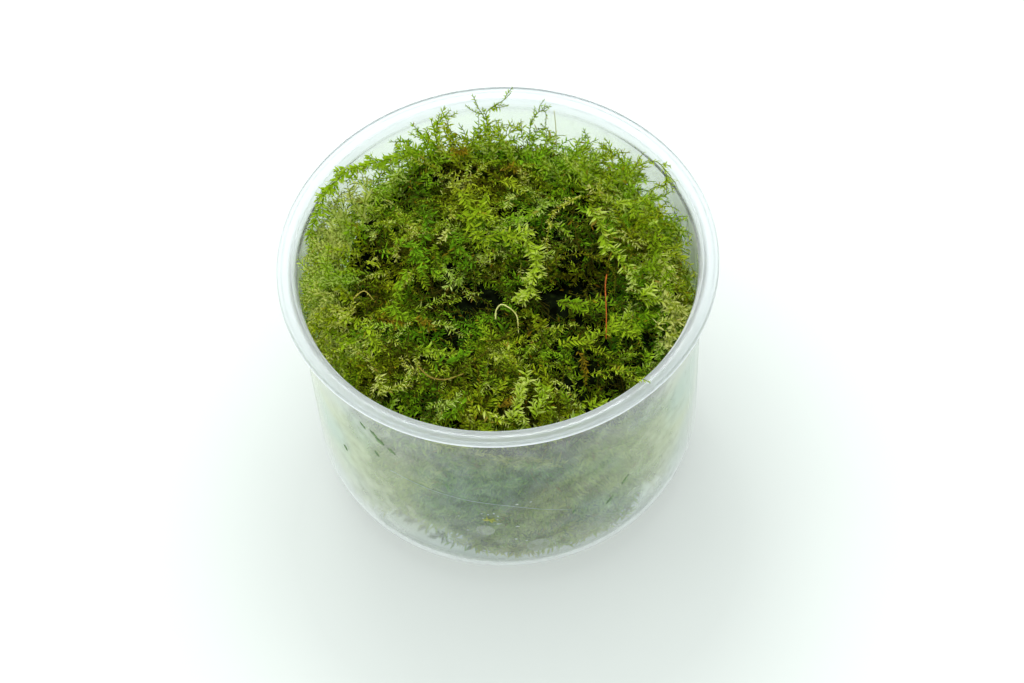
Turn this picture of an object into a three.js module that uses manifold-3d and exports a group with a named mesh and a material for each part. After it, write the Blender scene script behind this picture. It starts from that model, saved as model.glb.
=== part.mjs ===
// Clear culture cup filled with flame moss: the cup, the tangled moss, and the sprigs that stand clear
// Millimetres, +Z up. The origin is the middle of the cup's foot, and the near side of the cup faces -Y.
import * as THREE from "three";
import { mergeVertices } from "three/addons/utils/BufferGeometryUtils.js";
import Module from "manifold-3d";

const wasm = await Module();
wasm.setup();

// Cup
const CUP_HEIGHT = 59.3;
const RIM_RADIUS = 43.0; // outer edge of the flange
const MOUTH_RADIUS = 39.95; // inner edge of the flange
const WALL = 0.8;
const CORNER_RADIUS = 37.97; // where the outer wall would meet the floor without its rounding
const DRAFT = THREE.MathUtils.degToRad(1.85); // the wall widens towards the mouth
const FOOT_ROUNDING = 11.9; // outer rounding between wall and foot
const RECESS_RADIUS = 21.5; // shallow recess inside the foot ring
const RECESS_DEPTH = 0.5;
const FLANGE_THICKNESS = 1.0;
const BEAD_WIDTH = 0.9; // bead along the flange's outer edge
const BEAD_HEIGHT = 1.35;
const NECK_DEPTH = 2.3; // the wall leans out into the flange over this height
const NECK_STEP = { out: 0.45, up: 0.8 }; // first part of that lean
const NECK_FLARE = 1.1; // how far the wall has leaned out under the flange
const MOUTH_DEPTH = 1.3; // the inside of the mouth narrows over this height
const EDGE_BEVEL = 0.25;
const CUP_SEGMENTS = 64;
const ARC_STEPS = 6;

// Moss
const GAP = 0.35; // kept between the moss and what it touches
const CROWN_Z = CUP_HEIGHT - 0.4;
const DOME_SCALE = 30; // the dome's fall is given at this radius
const DOME_FALL = { back: 3.6, front: 2.2 };
const SHOULDER_RADIUS = 29; // outside this radius the moss falls away to the wall
const SHOULDER_WIDTH = 9.5;
const SHOULDER_FALL = { back: 8.5, front: 2.5 };
const CLUMP_SIZE = 6; // small clumps all over the moss
const CLUMP_HEIGHT = 1.8;
const TUFT_SIZE = 2.4; // single tufts, which only show on the moss surface itself
const TUFT_HEIGHT = 1.6;
const SIDE_HOLLOW = 2.2; // depth of the gaps between the moss and the wall
const EDGE_DROP = 0.8; // the moss edge at the wall lies this far under its top
const MOSS_SIDES = 56;
const MOSS_RINGS = { top: 13, side: 8, corner: 5, floor: 3 };
const MOSS_EDGE_RADIUS = 38.2;

// Larger clumps and hollows of the moss: x, y, spread and rise
const SWELLS = [
  [2, 30, 8, 1.6],
  [-13, 27, 7, 1.0],
  [27, 19, 7, 0.8],
  [-29, 14, 8, -0.6],
  [5, 6, 5, 1.6],
  [-15, 2, 7, 1.0],
  [-26, -12, 7, 1.0],
  [4, -26, 7, 1.4],
  [17, -17, 7, 1.2],
  [31, -8, 7, 1.0],
  [-12, -24, 6, 0.8],
  [17, -2.5, 5, -5.0],
  [-5, -5.5, 5.5, -3.2],
  [-2, 31, 3.5, -2.0],
  [10, -13, 4, -1.6],
  [27, -19, 4.5, -2.0],
];

// The moss meets the wall only above this height, and steps back from the foot below it
const FOOT_EDGE = 10.5;
const FOOT_EDGE_RAGGED = 2;
const FOOT_STEP_BACK = 0.74; // for each millimetre under the edge
// Places where that edge is higher: angle in degrees, spread and rise
const FOOT_GAPS = [
  [-127, 8, 8],
  [-108, 7, 5.5],
  [-42, 8, 4.5],
];

function mix(a, b, t) {
  return a + (b - a) * t;
}

function hash(i, j, k) {
  const s = Math.sin(i * 127.1 + j * 311.7 + k * 74.7) * 43758.5453;
  return s - Math.floor(s);
}

// Smooth noise from 0 to 1 with one value at each whole-number point
function noise(x, y, z) {
  const [i, j, k] = [x, y, z].map(Math.floor);
  const [u, v, w] = [x - i, y - j, z - k].map((t) => t * t * (3 - 2 * t));
  const along = (dj, dk) => mix(hash(i, j + dj, k + dk), hash(i + 1, j + dj, k + dk), u);
  return mix(mix(along(0, 0), along(1, 0), v), mix(along(0, 1), along(1, 1), v), w);
}

// Height of the moss at a point seen from above
function mossTop(x, y) {
  const radius = Math.hypot(x, y);
  const nearness = 0.5 - (0.5 * y) / Math.max(radius, 1e-6);
  const shoulder = Math.max(0, radius - SHOULDER_RADIUS) / SHOULDER_WIDTH;
  let z = CROWN_Z - mix(DOME_FALL.back, DOME_FALL.front, nearness) * (radius / DOME_SCALE) ** 2;
  z -= mix(SHOULDER_FALL.back, SHOULDER_FALL.front, nearness ** 1.5) * shoulder ** 2;
  for (const [sx, sy, spread, rise] of SWELLS) {
    z += rise * Math.exp(-((x - sx) ** 2 + (y - sy) ** 2) / (2 * (0.62 * spread) ** 2));
  }
  return z + CLUMP_HEIGHT * (noise(x / CLUMP_SIZE, y / CLUMP_SIZE, 0.5) - 0.5);
}

// Places on the cup's outer wall, and a point on its rounding at an angle below the horizontal
const SLOPE = Math.tan(DRAFT);
const ROUNDING_CENTRE = CORNER_RADIUS + FOOT_ROUNDING * SLOPE - FOOT_ROUNDING / Math.cos(DRAFT);

function wallRadius(z, inset) {
  return CORNER_RADIUS + z * SLOPE - inset / Math.cos(DRAFT);
}

function roundingPoint(angle, inset) {
  const radius = FOOT_ROUNDING - inset;
  return [ROUNDING_CENTRE + radius * Math.cos(angle), FOOT_ROUNDING - radius * Math.sin(angle)];
}

function roundingArc(inset, from, to) {
  const angles = Array.from({ length: ARC_STEPS + 1 }, (_, i) => mix(from, to, i / ARC_STEPS));
  return angles.map((angle) => roundingPoint(angle, inset));
}

function cupGeometry() {
  const top = CUP_HEIGHT;
  const neck = top - NECK_DEPTH;
  const underside = top - FLANGE_THICKNESS;
  const [outer, inner] = [wallRadius(neck, 0), wallRadius(neck, WALL)];
  const profile = [
    [0, RECESS_DEPTH],
    [RECESS_RADIUS, RECESS_DEPTH],
    [RECESS_RADIUS + RECESS_DEPTH, 0],
    ...roundingArc(0, Math.PI / 2, DRAFT),
    [outer, neck],
    [outer + NECK_STEP.out, neck + NECK_STEP.up],
    [outer + NECK_FLARE, underside],
    [RIM_RADIUS - BEAD_WIDTH, underside],
    [RIM_RADIUS - BEAD_WIDTH, top - BEAD_HEIGHT],
    [RIM_RADIUS, top - BEAD_HEIGHT],
    [RIM_RADIUS, top - EDGE_BEVEL],
    [RIM_RADIUS - EDGE_BEVEL, top],
    [MOUTH_RADIUS + EDGE_BEVEL, top],
    [MOUTH_RADIUS, top - EDGE_BEVEL],
    [inner + NECK_STEP.out, top - MOUTH_DEPTH],
    [inner, neck],
    ...roundingArc(WALL, DRAFT, Math.PI / 2),
    [RECESS_RADIUS, WALL],
    [RECESS_RADIUS - RECESS_DEPTH, WALL + RECESS_DEPTH],
    [0, WALL + RECESS_DEPTH],
  ];
  const points = profile.map(([radius, z]) => new THREE.Vector2(radius, z));
  const geometry = new THREE.LatheGeometry(points, CUP_SEGMENTS);
  geometry.rotateX(Math.PI / 2);
  return bare(geometry);
}

// Only the shared corner points of a closed surface are kept
function bare(geometry) {
  geometry.deleteAttribute("normal");
  geometry.deleteAttribute("uv");
  return mergeVertices(geometry, 1e-4);
}

// How far out the moss reaches near the foot
function footReach(angle, z) {
  const degrees = THREE.MathUtils.radToDeg(angle);
  let edge = FOOT_EDGE + FOOT_EDGE_RAGGED * noise(Math.cos(angle) * 6 + 40, Math.sin(angle) * 6 + 40, 3.5);
  for (const [place, spread, rise] of FOOT_GAPS) {
    const away = ((degrees - place + 540) % 360) - 180;
    edge += rise * Math.exp(-(away ** 2) / (2 * spread ** 2));
  }
  return wallRadius(edge, 0) - FOOT_STEP_BACK * Math.max(0, edge - z);
}

// One point of the moss surface: ring 0 is the crown and the last ring the middle of the floor
function mossPoint(ring, turn, grow) {
  const angle = turn * 2 * Math.PI;
  const [cx, cy] = [Math.cos(angle), Math.sin(angle)];
  const rough = noise(cx * 7 + 20, cy * 7 + 20, ring * 1.3);
  const { top, side, corner, floor } = MOSS_RINGS;
  if (ring <= top) {
    const radius = (MOSS_EDGE_RADIUS + grow) * (ring / top) ** 0.9;
    const [x, y] = [radius * cx, radius * cy];
    return [x, y, mossTop(x, y) - TUFT_HEIGHT * noise(x / TUFT_SIZE, y / TUFT_SIZE, 9.5) + grow];
  }
  const inset = WALL + GAP + SIDE_HOLLOW * rough - grow;
  if (ring <= top + side) {
    const edge = mossTop(MOSS_EDGE_RADIUS * cx, MOSS_EDGE_RADIUS * cy) - EDGE_DROP;
    const z = mix(edge, FOOT_ROUNDING, (ring - top) / side);
    const radius = Math.min(wallRadius(z, inset), footReach(angle, z) - inset);
    return [radius * cx, radius * cy, z];
  }
  if (ring <= top + side + corner) {
    const down = ((ring - top - side) / corner) * (Math.PI / 2);
    const [reach, z] = roundingPoint(down, inset);
    const radius = Math.min(reach, footReach(angle, z) - inset);
    return [radius * cx, radius * cy, z];
  }
  const left = 1 - (ring - top - side - corner) / floor;
  const radius = ROUNDING_CENTRE * left;
  const overRecess = radius < RECESS_RADIUS + 2 ? RECESS_DEPTH : 0;
  const hollow = 0.5 * SIDE_HOLLOW * (left > 0 ? rough : 0.5);
  const z = WALL + overRecess + GAP + hollow - grow;
  return [radius * cx, radius * cy, z];
}

function mossGeometry(grow) {
  const rings = MOSS_RINGS.top + MOSS_RINGS.side + MOSS_RINGS.corner + MOSS_RINGS.floor;
  const geometry = new THREE.SphereGeometry(1, MOSS_SIDES, rings);
  const position = geometry.attributes.position;
  for (let i = 0; i < position.count; i += 1) {
    const column = i % (MOSS_SIDES + 1);
    const ring = Math.floor(i / (MOSS_SIDES + 1));
    const turn = (column % MOSS_SIDES) / MOSS_SIDES;
    position.setXYZ(i, ...mossPoint(ring, turn, grow));
  }
  return bare(geometry);
}

// Sprigs that stand clear: points in space, or points laid on the moss with the height above it
const inAir = (points) => points.map(([x, y, z]) => new THREE.Vector3(x, y, z));
const onMoss = (points) => points.map(([x, y, lift]) => new THREE.Vector3(x, y, mossTop(x, y) + lift));

const LEAFY = { radius: 1.1, tip: 0.3, sides: 6, step: 1.0, leaf: 0.5 };
const SLIM = { radius: 0.7, tip: 0.2, sides: 6, step: 1.0, leaf: 0.55 };
const BARE = { radius: 0.28, tip: 0.2, sides: 6, step: 1.6, leaf: 1 };

// A tapering shoot along a curve: rows of leaf tips alternate with the hollows between them
function shootGeometry(points, kind, grow) {
  const curve = new THREE.CatmullRomCurve3(points);
  const steps = Math.max(4, Math.round(curve.getLength() / kind.step));
  const frames = curve.computeFrenetFrames(steps);
  const geometry = new THREE.CylinderGeometry(1, 1, 1, kind.sides, steps);
  const position = geometry.attributes.position;
  for (let i = 0; i < position.count; i += 1) {
    const row = Math.round((0.5 - position.getY(i)) * steps);
    const around = Math.atan2(position.getZ(i), position.getX(i)) / (2 * Math.PI);
    const side = Math.round((around + 1) * kind.sides) % kind.sides;
    const onAxis = Math.hypot(position.getX(i), position.getZ(i)) < 0.5;
    const taper = mix(kind.radius, kind.tip, (row / steps) ** 2);
    const reach = onAxis ? 0 : taper * ((row + side) % 2 ? kind.leaf : 1) + grow;
    const angle = (side / kind.sides) * 2 * Math.PI;
    const point = curve.getPointAt(row / steps);
    point.addScaledVector(frames.normals[row], reach * Math.cos(angle));
    point.addScaledVector(frames.binormals[row], reach * Math.sin(angle));
    position.setXYZ(i, point.x, point.y, point.z);
  }
  return bare(geometry);
}

function toSolid(geometry) {
  const vertProperties = new Float32Array(geometry.attributes.position.array);
  const triVerts = new Uint32Array(geometry.index.array);
  return new wasm.Manifold(new wasm.Mesh({ numProp: 3, vertProperties, triVerts }));
}

function toGeometry(solid) {
  const mesh = solid.getMesh();
  const geometry = new THREE.BufferGeometry();
  geometry.setAttribute("position", new THREE.BufferAttribute(mesh.vertProperties, 3));
  geometry.setIndex(new THREE.BufferAttribute(mesh.triVerts, 1));
  return geometry;
}

function largestPiece(solid) {
  return solid.decompose().reduce((best, piece) => (piece.volume() > best.volume() ? piece : best));
}

const SPRIGS = [
  {
    name: "back_curly_sprig",
    color: 0x8aa04a,
    kind: SLIM,
    runs: [
      inAir([
        [0, 32, 52],
        [0.3, 33.7, 55],
        [-0.1, 35.6, 59.5],
        [1.4, 36.5, 61],
        [3.5, 37, 62],
        [5.2, 38, 63],
      ]),
      inAir([[-0.1, 35, 58.5], [-1, 36, 60], [-2, 37.3, 61.3]]),
    ],
  },
  {
    name: "back_left_sprig",
    color: 0x9fb83f,
    kind: LEAFY,
    runs: [
      inAir([
        [-10, 27, 52],
        [-10, 28.4, 54],
        [-10.2, 30.2, 58.5],
        [-9.7, 33.4, 60.5],
        [-7, 35.7, 62],
      ]),
    ],
  },
  {
    name: "back_hooked_sprig",
    color: 0x93a944,
    kind: SLIM,
    runs: [
      inAir([
        [8.2, 30, 53],
        [8.4, 32.8, 57.5],
        [10.1, 34.3, 60.5],
        [11.7, 34, 61.2],
        [11.6, 32, 59.5],
      ]),
    ],
  },
  {
    name: "back_bare_stalk",
    color: 0xb9bf86,
    kind: BARE,
    runs: [inAir([[13.4, 30, 53], [13.6, 32.7, 57], [13.5, 34.7, 60.5]])],
  },
  {
    name: "left_arching_sprig",
    color: 0xa9bf55,
    kind: LEAFY,
    runs: [
      inAir([
        [-9, 29.5, 53.5],
        [-14.1, 29.2, 57],
        [-19.3, 27.7, 58],
        [-24.7, 25.5, 59],
        [-29.7, 22.7, 59.6],
        [-32.8, 18.6, 59.6],
        [-35.4, 13.5, 57.5],
        [-36, 8, 53],
        [-35, 3, 50],
      ]),
    ],
  },
  {
    name: "right_back_sprig",
    color: 0x93a84a,
    kind: SLIM,
    runs: [inAir([[27.5, 20, 52.5], [26.6, 22.6, 57], [24.0, 24.3, 59], [22, 25.5, 59.5]])],
  },
  {
    name: "right_looped_sprig",
    color: 0xa5b862,
    kind: SLIM,
    runs: [
      inAir([
        [25.5, 18, 54],
        [27, 20, 57],
        [29.5, 20.6, 59],
        [32.6, 19.6, 61],
        [34.3, 17.2, 60.2],
        [33.9, 15.4, 58.6],
        [31.6, 16, 56.8],
        [30, 14, 54],
      ]),
    ],
  },
  {
    name: "yellow_stalk",
    color: 0xc9bd6b,
    kind: SLIM,
    runs: [
      onMoss([
        [17.5, 14.5, 1.6],
        [14, 12.2, 1.2],
        [11, 9.5, 1.2],
        [10.4, 6, 1.0],
        [9.6, 2.4, 0.6],
      ]),
    ],
  },
  {
    name: "crest_sprig",
    color: 0xa9b93c,
    kind: LEAFY,
    runs: [
      onMoss([
        [3.4, 4.5, 0.8],
        [6, 3.4, 1.0],
        [7.4, 0.5, 1.0],
        [7.2, -3, 1.0],
        [6, -7.5, 0.9],
        [4.6, -9.5, 0.5],
      ]),
    ],
  },
  {
    name: "hollow_edge_stem",
    color: 0x9a8a3a,
    kind: SLIM,
    runs: [
      inAir([
        [9.6, -1.6, 57.8],
        [13, 0.2, 58.3],
        [17, 0.6, 58.2],
        [20.3, -1, 58],
        [22.4, -4.6, 57.6],
        [22, -9, 57.6],
      ]),
    ],
  },
  {
    name: "red_stalk",
    color: 0xb4562f,
    kind: BARE,
    runs: [
      inAir([
        [20.9, -4.4, 57.6],
        [20.4, -8, 59],
        [20.2, -12, 60],
        [20, -16, 60.3],
        [19.6, -20.2, 58.6],
      ]),
    ],
  },
  {
    name: "right_pale_sprig",
    color: 0xc4cf95,
    kind: LEAFY,
    runs: [
      onMoss([
        [31.7, 1.5, 0.8],
        [32.6, -3.6, 1.0],
        [31.8, -7.4, 1.0],
        [32.2, -10.9, 1.0],
        [33.4, -13, 1.0],
        [32.9, -15.8, 1.0],
        [31.6, -18.6, 0.6],
      ]),
    ],
  },
  {
    name: "bent_sprig",
    color: 0x9db63e,
    kind: SLIM,
    runs: [
      onMoss([
        [15.5, -22, 0.6],
        [17.5, -20, 1.2],
        [21.5, -17.6, 1.4],
        [24.4, -16.6, 1.8],
        [26.2, -18, 1.6],
      ]),
    ],
  },
  {
    name: "curled_stem",
    color: 0xc6c377,
    kind: BARE,
    runs: [
      onMoss([
        [-1.2, -14, 0.5],
        [-0.9, -12.6, 1.6],
        [0.4, -11.8, 2],
        [2.8, -14, 1.6],
        [3, -17.6, 0.6],
      ]),
    ],
  },
  {
    name: "bright_sprig",
    color: 0xa8c24a,
    kind: SLIM,
    runs: [onMoss([[-17, -18.6, 0.8], [-12.8, -20.3, 1.1], [-8.6, -23.3, 0.8]])],
  },
  {
    name: "front_left_pale_sprig",
    color: 0xc9d08c,
    kind: SLIM,
    runs: [onMoss([[-24.2, -22.8, 1.2], [-24.1, -26, 1.4], [-20.4, -26, 1.2], [-17.6, -24.2, 0.8]])],
  },
  {
    name: "brown_stem",
    color: 0x8d7a2f,
    kind: BARE,
    runs: [onMoss([[-17.2, -21.6, 0.6], [-14.8, -25.6, 0.9], [-11.7, -26.8, 0.9], [-8, -25.6, 0.5]])],
  },
  {
    name: "front_pale_sprig",
    color: 0xbccb80,
    kind: LEAFY,
    runs: [onMoss([[3.3, -28, 0.9], [2.3, -31, 1.1], [1.8, -33.6, 1.1], [3, -36.2, 0.8]])],
  },
  {
    name: "rim_sprig",
    color: 0xa3b84f,
    kind: SLIM,
    runs: [
      inAir([
        [16, -27, 57],
        [18.6, -27.8, 58.8],
        [21.6, -28.4, 59.6],
        [23.8, -30, 60.2],
        [24.8, -31.4, 60.6],
      ]),
    ],
  },
  {
    name: "tan_stem",
    color: 0xa8905a,
    kind: BARE,
    runs: [onMoss([[-28.6, -5.4, 0.5], [-26.2, -4.2, 1.2], [-24.4, -6.4, 0.6]])],
  },
];

function piece(name, geometry, material) {
  const mesh = new THREE.Mesh(geometry, new THREE.MeshStandardMaterial(material));
  mesh.name = name;
  return mesh;
}

const model = new THREE.Group();
model.name = "flame_moss_cup";
model.add(
  piece("cup", cupGeometry(), { color: 0xe6efec, roughness: 0.15, transparent: true, opacity: 0.3 }),
  piece("moss_tangle", mossGeometry(0), { color: 0x5c7420, roughness: 0.85 }),
);

// Each sprig stops just short of the moss and of the sprigs before it
const keepClear = [toSolid(mossGeometry(GAP))];
for (const { name, color, kind, runs } of SPRIGS) {
  const joined = (grow) => {
    const solids = runs.map((run) => toSolid(shootGeometry(run, kind, grow)));
    return solids.reduce((a, b) => a.add(b));
  };
  const cut = keepClear.reduce((solid, neighbour) => solid.subtract(neighbour), joined(0));
  keepClear.push(joined(GAP));
  model.add(piece(name, toGeometry(largestPiece(cut)), { color, roughness: 0.75 }));
}

export default model;
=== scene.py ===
"""Flame moss in its clear culture cup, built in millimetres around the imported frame."""

import math

import bpy
import numpy as np
from mathutils import Matrix, Vector


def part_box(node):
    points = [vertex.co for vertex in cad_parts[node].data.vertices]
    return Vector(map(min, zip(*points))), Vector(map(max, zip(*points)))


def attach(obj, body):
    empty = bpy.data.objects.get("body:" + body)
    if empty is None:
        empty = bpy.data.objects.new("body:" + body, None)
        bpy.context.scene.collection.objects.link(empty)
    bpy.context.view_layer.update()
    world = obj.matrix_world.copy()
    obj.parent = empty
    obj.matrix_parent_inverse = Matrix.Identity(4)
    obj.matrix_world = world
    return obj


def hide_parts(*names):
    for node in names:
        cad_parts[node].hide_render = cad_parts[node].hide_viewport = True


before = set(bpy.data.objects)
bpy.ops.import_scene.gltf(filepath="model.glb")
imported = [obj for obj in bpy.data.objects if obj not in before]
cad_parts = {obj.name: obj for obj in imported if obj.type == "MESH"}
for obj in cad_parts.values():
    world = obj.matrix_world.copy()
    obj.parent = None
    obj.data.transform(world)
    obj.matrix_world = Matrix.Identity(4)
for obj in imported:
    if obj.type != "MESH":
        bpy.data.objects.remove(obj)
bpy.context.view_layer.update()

bl_info = {
    "name": "Flame moss in a culture cup",
    "version": (1, 0, 0),
    "blender": (4, 5, 0),
    "location": "View3D > Sidebar > Moss cup",
    "description": "Builds a clear plastic cup filled with a tangle of flame moss",
    "category": "Object",
}

MM = 0.001
SEED = 4107

# The cup, in millimetres. Its height and rim come from the frame.
CUP_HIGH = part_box("cup")[1]
CUP_HEIGHT = CUP_HIGH.z / MM
RIM_RADIUS = CUP_HIGH.x / MM
MOUTH_RADIUS = 39.95
WALL = 0.8
CORNER_RADIUS = 37.97
DRAFT = math.radians(1.85)
FOOT_ROUNDING = 11.9
RECESS_RADIUS = 21.5
RECESS_DEPTH = 0.5
FLANGE_THICKNESS = 1.0
BEAD_WIDTH = 0.9
BEAD_HEIGHT = 1.35
NECK_DEPTH = 2.3
SLOPE = math.tan(DRAFT)
ROUNDING_CENTRE = CORNER_RADIUS + FOOT_ROUNDING * SLOPE - FOOT_ROUNDING / math.cos(DRAFT)

# The moss surface, as the solid has it
CROWN_Z = CUP_HEIGHT - 0.4
DOME_SCALE = 30.0
DOME_FALL_BACK, DOME_FALL_FRONT = 3.6, 2.2
SHOULDER_RADIUS, SHOULDER_WIDTH = 29.0, 9.5
SHOULDER_FALL_BACK, SHOULDER_FALL_FRONT = 8.5, 2.5
CLUMP_SIZE, CLUMP_HEIGHT = 6.0, 1.8
MOSS_EDGE_RADIUS = 38.2
FOOT_EDGE, FOOT_EDGE_RAGGED, FOOT_STEP_BACK = 10.5, 2.0, 0.74
# Swells and hollows of its top: place along x and y, spread and rise
SWELLS = [
    (2, 30, 8, 1.6), (-13, 27, 7, 1.0), (27, 19, 7, 0.8), (-29, 14, 8, -0.6),
    (5, 6, 5, 1.6), (-15, 2, 7, 1.0), (-26, -12, 7, 1.0), (4, -26, 7, 1.4),
    (17, -17, 7, 1.2), (31, -8, 7, 1.0), (-12, -24, 6, 0.8), (17, -2.5, 5, -5.0),
    (-5, -5.5, 5.5, -3.2), (-2, 31, 3.5, -2.0), (10, -13, 4, -1.6), (27, -19, 4.5, -2.0),
]
# Gaps over its foot: place and spread in degrees, and rise
FOOT_GAPS = [(-127, 8, 8), (-108, 7, 5.5), (-42, 8, 4.5)]

# The margin where the tangle is thin: its middle and spread in degrees, its start and width from the axis
THIN_ANGLE, THIN_SPREAD = 165, 24
THIN_START, THIN_WIDTH = 28, 7

# Turn from one root to the next, how far from the axis shoots root and reach, and the radius at which the
# wall is unrolled to lay them on it
GOLDEN_ANGLE = math.pi * (3 - math.sqrt(5))
CROWN_ROOTS, FRINGE_REACH = 37.5, 38.0
FLOOR_ROOTS, FLOOR_REACH = 30, 31
UNROLLED_RADIUS = 37.0

# Space between a leaf and the plastic, and size of the patches of darker, paler, warmer and cooler moss
LEAF_GAP = 0.06
PATCH_SIZE = 7

# Side branches are a little smaller than their shoot. Sprigs that root behind a line stand against the light.
TWIG_VIGOUR = 0.85
BACK_SPRIGS = 15

# Where few shoots cover the hollows, and painted shade darkens them: place, spread along x and y, and how
# dark
DARK_HOLLOWS = (
    (16.0, -5.2, 4.8, 3.0, 1.0),
    (-5.0, -8.0, 5.0, 4.0, 0.6),
    (-2.0, 24.0, 3.0, 2.5, 0.6),
    (26.5, -21.0, 4.0, 3.0, 0.4),
)

# The photograph's view: where the rim's centre is seen, and how far and how steeply from
VIEW_WIDTH, VIEW_HEIGHT = 1024, 683
RIM_CENTRE_PIXEL = (497.3, 259.5)
VIEW_ELEVATION = math.radians(53.68)
VIEW_ROLL = math.radians(4.334)
VIEW_DISTANCE = 775.9
FOCAL_PIXELS = 4000.0


# Helpers

def smooth(t):
    return t * t * (3 - 2 * t)


def ease(value, start, width):
    """From 0 at the start to 1 a width past it, level at both ends."""
    return smooth(np.clip((value - start) / width, 0, 1))


def lattice(i, j, k):
    """A fixed value from 0 to 1 for each whole-number point, which looks random."""
    s = np.sin(i * 127.1 + j * 311.7 + k * 74.7) * 43758.5453
    return s - np.floor(s)


def noise(x, y, z):
    """Smooth noise from 0 to 1 with one value at each whole-number point."""
    x, y, z = np.broadcast_arrays(x, y, z)
    i, j, k = np.floor(x), np.floor(y), np.floor(z)
    u, v, w = smooth(x - i), smooth(y - j), smooth(z - k)

    def along(dj, dk):
        a, b = lattice(i, j + dj, k + dk), lattice(i + 1, j + dj, k + dk)
        return a + (b - a) * u

    low = along(0, 0) + (along(1, 0) - along(0, 0)) * v
    high = along(0, 1) + (along(1, 1) - along(0, 1)) * v
    return low + (high - low) * w


def over_moss(x, y, size, place, layer):
    """Noise on the moss seen from above, in clumps of a size. Place and layer pick the part that is used."""
    return noise(x / size + place, y / size + place, layer)


def round_cup(angle, clumps, place, layer):
    """Noise round the cup. It changes with height where the layer does."""
    return noise(np.cos(angle) * clumps + place, np.sin(angle) * clumps + place, layer)


def near_angle(angle, place, spread):
    """How near an angle lies to a place round the cup, both in degrees, from 0 to 1."""
    away = (angle - place + 540) % 360 - 180
    return np.exp(-(away ** 2) / (2 * spread ** 2))


def held_within(x, y, radius):
    """Points drawn in to a radius where they lie past it."""
    inside = np.minimum(1, radius / np.maximum(np.hypot(x, y), 1e-6))
    return x * inside, y * inside


def moss_top(x, y):
    """Height of the moss over a point seen from above."""
    radius = np.hypot(x, y)
    near = 0.5 - 0.5 * y / np.maximum(radius, 1e-6)
    shoulder = np.maximum(0, radius - SHOULDER_RADIUS) / SHOULDER_WIDTH
    z = CROWN_Z - (DOME_FALL_BACK + (DOME_FALL_FRONT - DOME_FALL_BACK) * near) * (radius / DOME_SCALE) ** 2
    fall = SHOULDER_FALL_BACK + (SHOULDER_FALL_FRONT - SHOULDER_FALL_BACK) * near ** 1.5
    z = z - fall * shoulder ** 2
    for sx, sy, spread, rise in SWELLS:
        z = z + rise * np.exp(-((x - sx) ** 2 + (y - sy) ** 2) / (2 * (0.62 * spread) ** 2))
    return z + CLUMP_HEIGHT * (noise(x / CLUMP_SIZE, y / CLUMP_SIZE, 0.5) - 0.5)


def wall_radius(z, inset):
    """Radius of the straight wall at a height, less an inset square to it."""
    return CORNER_RADIUS + z * SLOPE - inset / math.cos(DRAFT)


def inside_radius(z, inset):
    """Radius of the cup's inside at a height, less an inset."""
    inset = inset + WALL
    wall = wall_radius(z, inset)
    drop = np.clip(FOOT_ROUNDING - z, 0, None)
    reach = np.maximum(FOOT_ROUNDING - inset, 0.1)
    corner = ROUNDING_CENTRE + np.sqrt(np.clip(reach ** 2 - drop ** 2, 0, None))
    return np.where(z > FOOT_ROUNDING, wall, corner)


def linear(hex_code):
    """An sRGB hex colour as Blender's linear values, opaque."""
    parts = [int(hex_code[n:n + 2], 16) / 255 for n in (1, 3, 5)]
    return tuple(c / 12.92 if c <= 0.04045 else ((c + 0.055) / 1.055) ** 2.4 for c in parts) + (1.0,)


def add(tree, kind, sockets=None, **settings):
    """Adds a node. Sockets are set by name or number to a value or to another node's output."""
    node = tree.nodes.new(kind)
    for key, value in settings.items():
        setattr(node, key, value)
    for key, value in (sockets or {}).items():
        if isinstance(value, bpy.types.NodeSocket):
            tree.links.new(value, node.inputs[key])
        else:
            node.inputs[key].default_value = value
    return node


def ramp(tree, factor, stops):
    """Colours along a factor, each stop a place and a hex colour."""
    node = add(tree, "ShaderNodeValToRGB", {"Fac": factor})
    points, stops = node.color_ramp.elements, list(stops)
    while len(points) < len(stops):
        points.new(0.5)
    for point, (place, colour) in zip(points, stops):
        point.position = place
        point.color = linear(colour)
    return node.outputs["Color"]


def new_material(name):
    material = bpy.data.materials.new(name)
    material.use_nodes = True
    material.node_tree.nodes.clear()
    return material, material.node_tree


def mesh_object(name, points, faces, material, smooth_faces=True):
    """An object with its mesh in place, from points in millimetres."""
    mesh = bpy.data.meshes.new(name)
    mesh.from_pydata((np.asarray(points) * MM).tolist(), [], faces)
    mesh.polygons.foreach_set("use_smooth", [smooth_faces] * len(mesh.polygons))
    mesh.materials.append(material)
    mesh.update()
    obj = bpy.data.objects.new(name, mesh)
    bpy.context.collection.objects.link(obj)
    return obj


def finish_piece(obj, slot, *nodes):
    """Ties a piece to the one body and hides the CAD nodes that it stands for. Its slot is not used."""
    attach(obj, "root")
    if nodes:
        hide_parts(*nodes)


# Materials

# Zones of the cup's plastic: where each starts and where it is full, as heights and then as radii
BASE_ZONE = (6.5, 2.5)
FOOT_ZONE = (28, 10)
TOP_ZONE = (40, 50)
RIM_ZONE = (CUP_HEIGHT - 4.0, CUP_HEIGHT - 1.5)
FLANGE_ZONE = (CUP_HEIGHT - 2.2, CUP_HEIGHT - 1.2)
# Heights and, two lines down, radii of the bead's painted highlight
BEAD_SIDE = (CUP_HEIGHT - 0.5, CUP_HEIGHT - 0.7)
LIP_ZONE = (RIM_RADIUS - 1.5, RIM_RADIUS - 1.75)
BEAD_ZONE = (RIM_RADIUS - 0.20, RIM_RADIUS - 0.08)


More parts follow.
